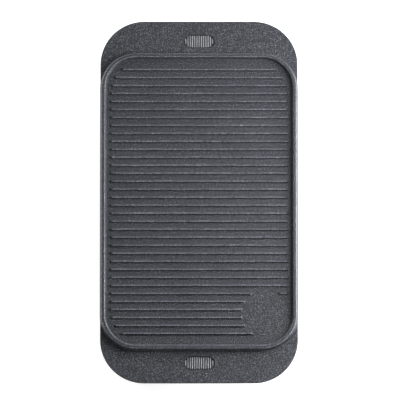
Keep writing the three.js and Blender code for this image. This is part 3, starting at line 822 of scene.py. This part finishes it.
@dataclass
class GrillPlate:
    """The cast plate: a ribbed pan with a raised rim, and a lower flange at each end."""

    palette: Palette
    pan_width: float = 274.5 * MM
    flange_reach: float = 44.6 * MM
    flange_inset: float = 0.5 * MM
    flange_corner: float = 61 * MM
    flange_thickness: float = 6 * MM
    pan_corner: float = 50 * MM
    rim_height: float = 10 * MM
    rim_draft: float = 2.3 * MM
    rim_top: float = 5 * MM
    inner_draft: float = 1 * MM
    floor_rise: float = 2 * MM
    floor_thickness: float = 4.5 * MM
    skirt_drop: float = 10 * MM
    skirt_wall: float = 5 * MM
    edge_round: float = 1.3 * MM
    round_steps: int = 4
    floor_round: float = 1.6 * MM
    floor_round_reach: float = 0.6
    rib_pitch: float = 11.24 * MM
    rib_from_end: float = 15 * MM
    rib_width: float = 3.6 * MM
    rib_height: float = 3 * MM
    rib_sunk: float = 0.6 * MM
    rib_flare: float = 0.7 * MM
    rib_hip: float = 0.45
    end_roundness: float = 0.45
    rib_margin: float = 4.7 * MM
    rib_into_disc: float = 5.4 * MM
    rib_field_corner: float = 45 * MM
    shortest_rib: float = 8 * MM
    disc_radius: float = 33.5 * MM
    disc_depth: float = 0.4 * MM
    disc_flare: float = 2 * MM
    disc_x: float = 92.5 * MM
    disc_beside_rib: float = 2.5
    ribs_cut_by_disc: int = 6
    grip_length: float = 43.5 * MM
    grip_width: float = 19 * MM
    grip_depth: float = 2.2 * MM
    grip_from_end: float = 28 * MM
    grip_ridges: int = 13
    grip_pitch: float = 3.1 * MM
    grip_ridge_width: float = 2.3 * MM
    grip_sunk: float = 0.2 * MM
    grip_margin: float = 0.9 * MM
    grip_bare_depth: float = 1.65 * MM
    web_thickness: float = 3 * MM
    web_edge: float = 0.6 * MM
    web_depth: float = 5 * MM
    web_spacing: float = 100 * MM
    boss_radius: float = 7 * MM
    pin_radius: float = 4 * MM
    pin_length: float = 4.5 * MM
    pin_point: float = 1 * MM
    facing: float = 0.8
    # how far down the rib tops the band that takes the painted highlight reaches
    rubbed_depth: float = 0.2 * MM
    rib_top_slope: float = 0.5
    crest_edge_slopes: tuple[float, float] = (0.15, 0.98)
    boss_from_side: float = 34 * MM
    boss_from_end: float = 20 * MM
    boss_gap: float = 0.3 * MM
    overlap: float = 1 * MM
    full_round_gap: float = 0.01 * MM

    def __post_init__(self) -> None:
        """Takes the plate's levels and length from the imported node."""
        self.low, self.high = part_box("grill_plate")
        self.crest = self.high.z
        self.flange_top = self.crest - self.rim_height
        self.floor = self.flange_top + self.floor_rise
        self.underside = self.floor - self.floor_thickness
        self.length = self.high.y - self.low.y
        self.pan_length = self.length - 2 * self.flange_reach
        wall = self.rim_draft + self.rim_top + self.inner_draft
        self.inner_width = self.pan_width - 2 * wall
        self.inner_length = self.pan_length - 2 * wall
        spans = (self.inner_length - 2 * self.rib_from_end) / self.rib_pitch
        self.rib_count = 1 + math.floor(spans)
        self.disc_y = self.rib_y(self.rib_count - self.ribs_cut_by_disc + self.disc_beside_rib)

    def rib_y(self, k: float) -> float:
        """Where a rib lies along Y, counted from the far end."""
        return ((self.rib_count - 1) / 2 - k) * self.rib_pitch

    def field_half_width(self, y: float) -> float:
        """How far the ribs reach from the middle at one place along Y."""
        corner_y = self.inner_length / 2 - self.rib_margin - self.rib_field_corner
        over = max(0.0, abs(y) - corner_y)
        half = self.inner_width / 2 - self.rib_margin
        return half - self.rib_field_corner + math.sqrt(self.rib_field_corner**2 - over**2)

    def stretches(self, y: float) -> list[tuple[float, float]]:
        """The stretches of one rib, broken where the plain disc lies.

        Args:
            y: The rib's place.

        Returns:
            Pairs of start and end along X. A stretch runs a little way into the disc's cutter.
        """
        reach = self.field_half_width(y)
        across = self.disc_radius**2 - (y - self.disc_y) ** 2
        if across <= 0:
            return [(-reach, reach)]
        half = math.sqrt(across)
        into = self.rib_into_disc
        pairs = [
            (-reach, min(reach, self.disc_x - half + into)),
            (self.disc_x + half - into, reach),
        ]
        return [(a, b) for a, b in pairs if b - a > self.shortest_rib + into]

    def rib(self) -> bpy.types.Object:
        """Models one rib across the middle: a flared foot, sloping flanks, a round top and ends."""
        foot = self.rib_width + 2 * self.rib_flare
        size = 2 * self.field_half_width(0)
        base = self.floor - self.rib_sunk
        piece = rounded_sheet("rib", (size, foot), foot * self.end_roundness, base, 4)
        bench.rise(self.rib_sunk)
        # in millimetres, how far in and how far up: fillet, flank, then the round top
        fillet = ((0.3, 0.12), (0.24, 0.3))
        flank = ((0.46, 1.2), (0.45, 0.85))
        top = ((0.42, 0.4), (0.3, 0.13))
        for inward, up in fillet + flank + top:
            bench.inset(inward * MM, up * MM)
            size -= 2 * inward * MM
            hip = self.rib_hip * up * MM
            bpy.ops.transform.resize(value=(1 - 2 * hip / size, 1, 1))
            size -= 2 * hip
        return bench.close_up(piece)

    def ribs(self) -> bpy.types.Object:
        """Copies the rib to every place, at the length that the field has there."""
        pattern = self.rib()
        reach = self.field_half_width(0)
        made = []
        for k in range(self.rib_count):
            y = self.rib_y(k)
            for start, end in self.stretches(y):
                twin = duplicate(pattern, "rib", (0, y, 0))
                if (start, end) != (-reach, reach):
                    lengthen(twin, 0, start + reach, end - reach)
                made.append(twin)
        bpy.data.objects.remove(pattern)
        return bench.join(made)

    def rounding(self, radius: float, down: bool) -> list[tuple[float, float]]:
        """The steps of a quarter round.

        Args:
            radius: Its radius.
            down: Whether it turns from level to falling, and not from rising to level.

        Returns:
            Pairs of how far in and how far up.
        """
        steps = self.round_steps
        angles = [math.pi / 2 * i / steps for i in range(steps + 1)]
        points = [(1 - math.cos(a), math.sin(a)) for a in angles]
        pairs = [
            ((b[0] - a[0]) * radius, (b[1] - a[1]) * radius) for a, b in zip(points, points[1:])
        ]
        return [(p[1], -p[0]) for p in pairs] if down else pairs

    def pan(self) -> bpy.types.Object:
        """Models the pan and its rim as one solid body, up from the skirt's lower edge."""
        base = self.flange_top - self.skirt_drop
        name = "grill_plate_finished"
        size = (self.pan_width, self.pan_length)
        piece = rounded_sheet(name, size, self.pan_corner, base, 20)
        bench.rise(self.skirt_drop)
        bench.inset(self.rim_draft, self.rim_height - self.edge_round)
        for inward, up in self.rounding(self.edge_round, down=False):
            bench.inset(inward, up)
        bench.inset(self.rim_top - 2 * self.edge_round, 0)
        for inward, up in self.rounding(self.edge_round, down=True):
            bench.inset(inward, up)
        fall = self.rim_height - self.floor_rise - self.edge_round - self.floor_round
        bench.inset(self.inner_draft, -fall)
        for inward, up in reversed(self.rounding(self.floor_round, down=False)):
            bench.inset(up * self.floor_round_reach, -inward)
        return bench.close_up(piece)

    def flange(self) -> bpy.types.Object:
        """Models the thin slab whose two ends stand out of the pan."""
        piece = slab(
            "flange",
            (self.pan_width - 2 * self.flange_inset, self.length),
            self.flange_corner,
            self.flange_top - self.flange_thickness,
            self.flange_top,
            steps=24,
        )
        bench.break_edges(piece, self.edge_round, self.round_steps, REAL_EDGE_ANGLE)
        return piece

    def hollow(self) -> bpy.types.Object:
        """Models the space under the pan's floor, a little deeper than the skirt."""
        walls = 2 * self.skirt_wall
        return slab(
            "hollow",
            (self.pan_width - walls, self.pan_length - walls),
            self.pan_corner - self.skirt_wall,
            self.flange_top - self.skirt_drop - self.overlap,
            self.underside,
        )

    def underside_parts(self) -> bpy.types.Object:
        """Models a web and a boss with its locating pin, and copies each to its places."""
        web = slab(
            "web",
            (self.pan_width - self.skirt_wall, self.web_thickness),
            self.web_edge,
            self.underside - self.web_depth,
            self.underside + self.overlap,
            steps=2,
        )
        boss_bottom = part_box("near_plate_rest")[1].z + self.boss_gap
        pin_tip = boss_bottom - self.pin_length
        profile = [
            (self.pin_radius - self.pin_point, pin_tip),
            (self.pin_radius, pin_tip + self.pin_point),
            (self.pin_radius, boss_bottom),
            (self.boss_radius, boss_bottom),
            (self.boss_radius, self.underside + self.overlap),
        ]
        boss = turned("boss", profile, sides=32)
        shell_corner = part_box("outer_shell")[1]
        boss_x = shell_corner.x - self.boss_from_side
        boss_y = shell_corner.y - self.boss_from_end
        webs = [duplicate(web, "web", (0, k * self.web_spacing, 0)) for k in (-1, 0, 1)]
        bosses = [
            duplicate(boss, "boss", (side.value * boss_x, end.value * boss_y, 0))
            for side in Side
            for end in End
        ]
        bpy.data.objects.remove(web)
        bpy.data.objects.remove(boss)
        return bench.join(webs + bosses)

    def disc_cutter(self) -> bpy.types.Object:
        """Turns the cutter that mills the plain disc; its side slopes and bares the ribs' ends,
        whose pale bare-metal colour is also a painted highlight.
        """
        top = self.floor + 2 * self.rib_height
        profile = [
            (self.disc_radius, self.floor - self.disc_depth),
            (self.disc_radius + self.disc_flare, top),
        ]
        return aim(turned("disc", profile, sides=96), (0, 0, 0), (self.disc_x, self.disc_y, 0))

    def grip_pocket(self) -> bpy.types.Object:
        """Models the round-ended space that holds a thumb grip's ridges."""
        return slab(
            "pocket",
            (self.grip_length, self.grip_width),
            self.grip_width / 2 - self.full_round_gap,
            self.flange_top - self.grip_depth,
            self.flange_top + self.overlap,
            steps=14,
        )

    def grip_ridge(self) -> bpy.types.Object:
        """Models one ridge of a thumb grip at the full width of the pocket."""
        tall = self.grip_depth - self.grip_sunk
        length = self.grip_width - 2 * self.grip_margin
        base = self.flange_top - self.grip_depth - self.rib_sunk
        wide = self.grip_ridge_width
        piece = rounded_sheet("ridge", (wide, length), wide * self.end_roundness, base, 3)
        bench.rise(self.rib_sunk)
        # millimetres in, and the share of its height
        for inward, share in ((0.4, 0.7), (0.3, 0.22), (0.2, 0.08)):
            bench.inset(inward * MM, share * tall)
        return bench.close_up(piece)

    def grip_ridge_set(self) -> bpy.types.Object:
        """Copies the ridge to its places in a thumb grip, shorter at the pocket's round ends."""
        radius = self.grip_width / 2 - self.grip_margin
        straight = (self.grip_length - self.grip_width) / 2
        pattern = self.grip_ridge()
        made = []
        for k in range(self.grip_ridges):
            x = (k - (self.grip_ridges - 1) / 2) * self.grip_pitch
            over = max(0.0, abs(x) + self.grip_ridge_width / 2 - straight)
            less = radius - math.sqrt(radius**2 - over**2)
            twin = duplicate(pattern, "ridge", (x, 0, 0))
            if less > 0:
                lengthen(twin, 1, less, -less)
            made.append(twin)
        bpy.data.objects.remove(pattern)
        return bench.join(made)

    def build(self) -> bpy.types.Object:
        """Joins the flange, ribs, webs and bosses to the pan, and cuts the disc and the grips."""
        plate = self.pan()
        bench.combine(plate, self.flange(), "UNION")
        bench.combine(plate, self.hollow(), "DIFFERENCE")
        bench.combine(plate, self.underside_parts(), "UNION")
        bench.combine(plate, self.ribs(), "UNION")
        bench.combine(plate, self.disc_cutter(), "DIFFERENCE")
        pocket = self.grip_pocket()
        ridges = self.grip_ridge_set()
        for end in End:
            place = (0, end.value * (self.length / 2 - self.grip_from_end), 0)
            bench.combine(plate, duplicate(pocket, "pocket", place), "DIFFERENCE")
            bench.combine(plate, duplicate(ridges, "ridges", place), "UNION")
        bpy.data.objects.remove(pocket)
        bpy.data.objects.remove(ridges)
        plate.data.materials.clear()
        for finish in (self.palette.coated_iron, self.palette.ground_iron, self.palette.worn_iron):
            plate.data.materials.append(finish.material())
        for face in plate.data.polygons:
            # grip ridges are ground bare; the milled rib ends are bare too, and their pale colour
            # also paints a highlight
            if self.is_grip_ridge(face) or self.is_milled_end(face):
                face.material_index = Surface.GROUND.value
            # rib tops and crest edges take the paler finish, a painted highlight
            elif self.is_rubbed(face):
                face.material_index = Surface.RUBBED.value
            else:
                face.material_index = Surface.COATED.value
        return finish_piece(plate, self.palette.coated_iron, "grill_plate")

    def is_grip_ridge(self, face: bpy.types.MeshPolygon) -> bool:
        """Whether a face belongs to a ridge of a thumb grip, above its foot."""
        at = face.center
        from_middle = abs(abs(at.y) - (self.length / 2 - self.grip_from_end))
        inside = self.grip_margin / 2
        return (
            abs(at.x) < self.grip_length / 2 - inside
            and from_middle < self.grip_width / 2 - inside
            and self.grip_bare_depth > self.flange_top - at.z > self.grip_sunk / 2
        )

    def is_milled_end(self, face: bpy.types.MeshPolygon) -> bool:
        """Whether a face is the sloping end that the disc's cutter leaves on a rib: bare metal
        whose pale colour is also a painted highlight.
        """
        at = face.center
        from_axis = math.hypot(at.x - self.disc_x, at.y - self.disc_y)
        on_slope = self.disc_radius < from_axis < self.disc_radius + self.disc_flare
        to_axis = Vector((self.disc_x - at.x, self.disc_y - at.y, 0)).normalized()
        return on_slope and at.z > self.floor and face.normal.dot(to_axis) > self.facing

    def is_rubbed(self, face: bpy.types.MeshPolygon) -> bool:
        """Whether a face lies on the top of a rib or on an edge of the rim's crest, where a paler
        colour paints a highlight.
        """
        above_floor = face.center.z - self.floor
        near_top = abs(above_floor - self.rib_height) < self.rubbed_depth
        on_crest = face.center.z > self.crest - self.edge_round
        steepest, flattest = self.crest_edge_slopes
        on_edge = on_crest and steepest < face.normal.z < flattest
        return on_edge or (near_top and face.normal.z > self.rib_top_slope)


# ---------------------------------------------------------------- firebox


@dataclass
class Firebox:
    """The enamelled shell, what is fixed inside it, and what it stands on."""

    palette: Palette
    sheet_edge: float = 0.35 * MM
    rivet_radius: float = 2 * MM
    rivet_head_radius: float = 3.8 * MM
    rivet_head_height: float = 1.6 * MM
    rivet_steps: int = 5
    rivet_sheet_room: float = 2.1 * MM
    rivet_shoulder_radius: float = 3.2 * MM
    foot_base_radius: float = 12 * MM
    foot_top_radius: float = 14.95 * MM
    foot_bore_radius: float = 2.85 * MM
    foot_mouth_radius: float = 6.5 * MM
    foot_mouth_edge: float = 0.6 * MM
    foot_mouth_depth: float = 6 * MM
    screw_edge: float = 0.2 * MM
    nut_edge: float = 0.3 * MM

    def build(self) -> None:
        """Builds every fixed piece."""
        refine("outer_shell", self.palette.enamel, self.sheet_edge)
        refine("inner_liner", self.palette.scaled, self.sheet_edge)
        refine("bottom_plate", self.palette.sheet, self.sheet_edge)
        for end in End:
            refine(f"{end.label}_plate_rest", self.palette.scaled, self.sheet_edge)
            refine(f"{end.label}_grate_ledge", self.palette.scaled, self.sheet_edge)
            refine(f"{end.label}_drawer_rail", self.palette.sheet, self.sheet_edge)
        self.rivets("bracket_rivet", along_x=False)
        self.rivets("rest_rivet", along_x=False)
        self.rivets("liner_rivet", along_x=True)
        self.feet()

    def rivets(self, kind: str, along_x: bool) -> None:
        """Turns one rivet of a kind and copies it to the four places.

        Args:
            kind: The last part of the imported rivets' names.
            along_x: Whether they lie along X and have a spacer's shoulder, and not along Y.
        """
        nodes = [f"{end.label}_{side.label}_{kind}" for end in End for side in Side]
        low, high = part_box(nodes[0])
        length = high.x - low.x if along_x else high.y - low.y
        pattern = turned(kind, self.rivet_profile(length, along_x), sides=24)
        aim(pattern, (0, 90, 0) if along_x else (90, 0, 0), (0, 0, 0))
        place_copies(pattern, nodes, self.palette.plated)

    def rivet_profile(self, length: float, shouldered: bool) -> list[tuple[float, float]]:
        """The outline of a rivet: a shank with a domed head at each end.

        Args:
            length: Its length over both heads.
            shouldered: Whether a thicker spacer stands between its two sheets.

        Returns:
            Pairs of radius and height, from end to end about the middle.
        """
        half = length / 2
        under_head = half - self.rivet_head_height
        dome = []
        for i in range(self.rivet_steps):
            angle = math.pi / 2 * (i + 0.5) / self.rivet_steps
            radius = self.rivet_head_radius * math.sin(angle)
            dome.append((radius, half - self.rivet_head_height * (1 - math.cos(angle))))
        dome.append((self.rivet_head_radius, under_head))
        dome.append((self.rivet_radius, under_head))
        if shouldered:
            sheet = under_head - self.rivet_sheet_room
            dome.append((self.rivet_radius, sheet))
            dome.append((self.rivet_shoulder_radius, sheet))
        return [(radius, -z) for radius, z in dome] + list(reversed(dome))

    def feet(self) -> None:
        """Turns one cast foot and copies it, and refines the screws and nuts."""
        nodes = [f"{end.label}_{side.label}_foot" for end in End for side in Side]
        low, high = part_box(nodes[0])
        tall = high.z - low.z
        rim = self.foot_top_radius
        # the mouth's edge, the base, the flank, the collar's rounded rim, the bore and the mouth
        profile = [
            (self.foot_mouth_radius, self.foot_mouth_edge),
            (self.foot_mouth_radius + self.foot_mouth_edge, 0),
            (self.foot_base_radius - 1.4 * MM, 0),
            (self.foot_base_radius - 0.5 * MM, 0.35 * MM),
            (self.foot_base_radius, 1.1 * MM),
            (rim - 0.55 * MM, tall - 3.4 * MM),
            (rim - 0.1 * MM, tall - 2.2 * MM),
            (rim, tall - 1.2 * MM),
            (rim - 0.35 * MM, tall - 0.4 * MM),
            (rim - 1.05 * MM, tall),
            (self.foot_bore_radius, tall),
            (self.foot_bore_radius, self.foot_mouth_depth),
            (self.foot_mouth_radius, self.foot_mouth_depth),
            (self.foot_mouth_radius, self.foot_mouth_edge),
        ]
        pattern = turned("foot", profile, closed=True)
        aim(pattern, (0, 0, 0), (0, 0, -tall / 2))
        place_copies(pattern, nodes, self.palette.coated_iron)
        for node in nodes:
            refine(f"{node}_screw", self.palette.plated, self.screw_edge)
            refine(f"{node}_nut", self.palette.plated, self.nut_edge)


@dataclass
class CoalGrate:
    """The slotted grate that carries the coals, with a lifting loop at each end."""

    palette: Palette
    iron_edge: float = 0.9 * MM
    loop_wire: float = 2 * MM
    loop_bend: float = 6 * MM

    def build(self) -> None:
        """Builds the grate and its loops."""
        refine("coal_grate", self.palette.scaled, self.iron_edge)
        nodes = [f"{end.label}_lifting_loop" for end in End]
        low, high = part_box(nodes[0])
        y = (high.y - low.y) / 2 - self.loop_wire
        foot = (low.z - high.z) / 2
        top = -foot - self.loop_wire
        corners = [(0, -y, foot), (0, -y, top), (0, y, top), (0, y, foot)]
        loop = wire("lifting_loop", corners, self.loop_bend, self.loop_wire)
        place_copies(loop, nodes, self.palette.plated)


@dataclass(frozen=True)
class Knob:
    """A turned knob on the X axis: a narrow neck that swells to a rounded head.

    The fields after stud_radius are shares of the neck's or head's radius, and of the length.
    """

    radius: float
    neck: float
    length: float
    edge: float = 0.3 * MM
    stud_radius: float = 2 * MM
    waist: float = 0.9
    waist_growth: float = 0.02
    shoulder: float = 0.96
    swell_from: float = 0.14
    swell_step: float = 0.1
    widest_from: float = 0.63
    widest_to: float = 0.72
    brow: float = 0.995
    crown_from: float = 0.76
    crown: float = 0.53
    crown_middle: float = 0.45
    tip: float = 0.3

    def model(self, stud: float = 0) -> bpy.types.Object:
        """Turns the knob.

        Args:
            stud: The length of the stud behind its neck, or 0 for none.

        Returns:
            The knob, with the middle of its whole length at the origin.
        """
        profile = [(self.stud_radius, -stud), (self.stud_radius, 0)] if stud else []
        profile += [(self.neck - self.edge, 0), (self.neck, self.edge)]
        swell = self.radius * self.shoulder - self.neck
        for i in range(5):
            t = i / 4
            radius = self.neck * (self.waist + self.waist_growth * i) + swell * t * t * (3 - 2 * t)
            profile.append((radius, (self.swell_from + self.swell_step * i) * self.length))
        profile.append((self.radius, self.widest_from * self.length))
        profile.append((self.radius * self.brow, self.widest_to * self.length))
        for i in range(1, 6):
            angle = math.pi / 2 * i / 6
            radius = self.radius * (self.crown_middle + self.crown * math.cos(angle))
            rise = (1 - self.crown_from) * math.sin(angle)
            profile.append((radius, (self.crown_from + rise) * self.length))
        profile.append((self.radius * self.tip, self.length))
        return aim(turned("knob", profile), (0, 90, 0), ((stud - self.length) / 2, 0, 0))


@dataclass
class AshDrawer:
    """The ash pan with its enamelled front and turned knob."""

    palette: Palette
    pan_edge: float = 0.35 * MM
    front_edge: float = 0.55 * MM
    screw_edge: float = 0.2 * MM
    knob_radius: float = 9 * MM
    knob_neck: float = 5 * MM

    def build(self) -> None:
        """Builds the pan, the front, the knob and its screw."""
        refine("ash_pan", self.palette.sheet, self.pan_edge)
        refine("drawer_front", self.palette.enamel, self.front_edge, 3)
        refine("drawer_knob_screw", self.palette.plated, self.screw_edge)
        low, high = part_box("drawer_knob")
        knob = Knob(self.knob_radius, self.knob_neck, high.x - low.x)
        place_copies(knob.model(), ["drawer_knob"], self.palette.plated)


@dataclass
class Dampers:
    """The two sliding air dampers, each between its two guides."""

    palette: Palette
    sheet_edge: float = 0.35 * MM
    knob: Knob = Knob(radius=7 * MM, neck=4 * MM, length=13 * MM)

    def build(self) -> None:
        """Builds the slotted plates, their guides and the knobs."""
        for end in End:
            for part in ("damper", "damper_lower_guide", "damper_upper_guide"):
                refine(f"{end.label}_{part}", self.palette.enamel, self.sheet_edge)
        nodes = [f"{end.label}_damper_knob" for end in End]
        low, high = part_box(nodes[0])
        knob = self.knob.model(stud=high.x - low.x - self.knob.length)
        place_copies(knob, nodes, self.palette.plated)


@dataclass
class BailHandles:
    """At each end a bracket with two ears, the wire bail that hangs in them, and its grip."""

    palette: Palette
    bracket_edge: float = 0.4 * MM
    wire_radius: float = 3 * MM
    bend: float = 7 * MM
    leg_half: float = 58 * MM
    wood_radius: float = 10.5 * MM
    wood_end_radius: float = 8 * MM
    wood_edge: float = 0.9 * MM
    wood_end_length: float = 1.2 * MM
    wood_fullness: float = 0.8
    wood_bore: float = 3.55 * MM
    wood_steps: int = 20
    groove: float = 0.35 * MM
    groove_half_width: float = 0.6 * MM
    groove_from_end: int = 2
    ferrule_radius: float = 7 * MM
    ferrule_bore: float = 3.2 * MM

    def build(self) -> None:
        """Builds the brackets, and one bail, grip and ferrule that are copied to both ends."""
        for end in End:
            node = f"{end.label}_handle_bracket"
            refine(node, self.palette.plated, self.bracket_edge)
        bails = [f"{end.label}_bail" for end in End]
        grips = [f"{end.label}_wood_grip" for end in End]
        place_copies(self.bail(bails[0]), bails, self.palette.plated)
        place_copies(self.grip(grips[0]), grips, self.palette.beech)
        self.ferrules()

    def bail(self, node: str) -> bpy.types.Object:
        """Bends the wire bail: two legs down from the pivots, and a straight run between them."""
        low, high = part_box(node)
        half = (high.x - low.x) / 2
        top = (high.z - low.z) / 2 - self.wire_radius
        corners = [
            (-half, 0, top),
            (-self.leg_half, 0, top),
            (-self.leg_half, 0, -top),
            (self.leg_half, 0, -top),
            (self.leg_half, 0, top),
            (half, 0, top),
        ]
        return wire("bail", corners, self.bend, self.wire_radius)

    def grip(self, node: str) -> bpy.types.Object:
        """Turns the wooden grip: a barrel with a small round and a groove near each end."""
        low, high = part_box(node)
        half = (high.x - low.x) / 2
        flat = self.wood_end_radius - self.wood_edge
        edge, edge_height = self.wood_end_radius - 0.25 * MM, half - 0.35 * MM
        profile = [(self.wood_bore, -half), (flat, -half), (edge, -edge_height)]
        for i in range(self.wood_steps + 1):
            t = -1 + 2 * i / self.wood_steps
            x = t * (half - self.wood_end_length)
            swell = (self.wood_radius - self.wood_end_radius) * (1 - t * t) ** self.wood_fullness
            radius = self.wood_end_radius + swell
            if i in (self.groove_from_end, self.wood_steps - self.groove_from_end):
                profile.append((radius, x - self.groove_half_width))
                profile.append((radius - self.groove, x))
                profile.append((radius, x + self.groove_half_width))
            else:
                profile.append((radius, x))
        profile += [(edge, edge_height), (flat, half)]
        profile += [(self.wood_bore, half), (self.wood_bore, -half)]
        return aim(turned("grip", profile, closed=True), (0, 90, 0), (0, 0, 0))

    def ferrules(self) -> None:
        """Turns the cap that is crimped on the wire beside a grip, and copies it."""
        low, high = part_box("near_right_ferrule")
        length = high.x - low.x
        outer = self.ferrule_radius
        profile = [
            (self.ferrule_bore, 0),
            (outer - 0.4 * MM, 0),
            (outer, 0.4 * MM),
            (outer, length * 0.45),
            (outer - 0.8 * MM, length * 0.75),
            (outer - 2.2 * MM, length),
            (self.ferrule_bore, length),
            (self.ferrule_bore, 0),
        ]
        ferrule = turned("ferrule", profile, closed=True, sides=32)
        aim(ferrule, (0, 90, 0), (-length / 2, 0, 0))
        mirrored = duplicate(ferrule, "ferrule", turn=180)
        for side, pattern in ((Side.RIGHT, ferrule), (Side.LEFT, mirrored)):
            nodes = [f"{end.label}_{side.label}_ferrule" for end in End]
            place_copies(pattern, nodes, self.palette.plated)


# ---------------------------------------------------------------- studio


@dataclass(frozen=True)
class Softbox:
    """One soft light: its name, where it hangs, its width and height, and its power in watts."""

    name: str
    place: Point
    size: tuple[float, float]
    power: float

    def hang(self, target: Vector) -> None:
        """Hangs it so that it faces the target."""
        data = bpy.data.lights.new(self.name, "AREA")
        data.shape = "RECTANGLE"
        data.size, data.size_y = self.size
        data.energy = self.power
        lamp = bpy.data.objects.new(self.name, data)
        bpy.context.scene.collection.objects.link(lamp)
        lamp.location = self.place
        way = target - Vector(self.place)
        lamp.rotation_euler = way.to_track_quat("-Z", "Y").to_euler()


@dataclass
class Studio:
    """A white light table, softboxes, and a long-lens camera that looks almost straight down."""

    palette: Palette
    elevation: float = 80
    distance: float = 14
    frame_width: float = 0.5535
    sensor_mm: float = 36
    target: Point = (0.0013, 0.0024, 0.134)
    room_light: float = 0.17
    softboxes: tuple[Softbox, ...] = (
        Softbox("overhead_softbox", (0.64, 0.07, 0.52), (0.3, 0.8), 13.2),
        Softbox("back_softbox", (0.5, 1.6, 1.5), (1.6, 0.5), 16),
        Softbox("left_strip", (-1.1, 1.1, 0.40), (0.2, 1.0), 14),
        Softbox("right_strip", (1.3, 0.1, 0.40), (0.25, 1.2), 11),
        Softbox("front_strip", (0.3, -1.6, 0.50), (1.2, 0.3), 8),
    )

    def build(self) -> None:
        """Builds the table, the lights and the camera."""
        bench.clear()
        bpy.ops.mesh.primitive_plane_add(size=40, location=(0, 0, 0))
        table = bpy.context.object
        table.name = "light_table"
        table.data.materials.append(self.palette.table.material())
        for softbox in self.softboxes:
            softbox.hang(Vector(self.target))
        world = bpy.data.worlds.new("studio_room")
        world.use_nodes = True
        background = world.node_tree.nodes["Background"]
        background.inputs["Color"].default_value = linear("ffffff")
        background.inputs["Strength"].default_value = self.room_light
        bpy.context.scene.world = world
        # plain sRGB, so that the white table stays white
        bpy.context.scene.view_settings.view_transform = "Standard"
        self.camera()

    def camera(self) -> None:
        """Sets the camera, whose field at the plate is as wide as frame_width."""
        data = bpy.data.cameras.new("camera")
        data.sensor_width = self.sensor_mm
        data.lens = self.sensor_mm * self.distance / self.frame_width
        data.clip_end = 10 * self.distance
        eye = bpy.data.objects.new("camera", data)
        bpy.context.scene.collection.objects.link(eye)
        angle = math.radians(self.elevation)
        back = Vector((0, -math.cos(angle), math.sin(angle)))
        eye.location = Vector(self.target) + back * self.distance
        eye.rotation_euler = (math.pi / 2 - angle, 0, 0)
        bpy.context.scene.camera = eye


def main() -> None:
    """Builds the studio and then the grill, piece by piece."""
    logging.basicConfig(level=logging.INFO, format="%(name)s: %(message)s")
    palette = Palette()
    Studio(palette).build()
    GrillPlate(palette).build()
    Firebox(palette).build()
    CoalGrate(palette).build()
    AshDrawer(palette).build()
    Dampers(palette).build()
    BailHandles(palette).build()


if __name__ == "__main__":
    main()
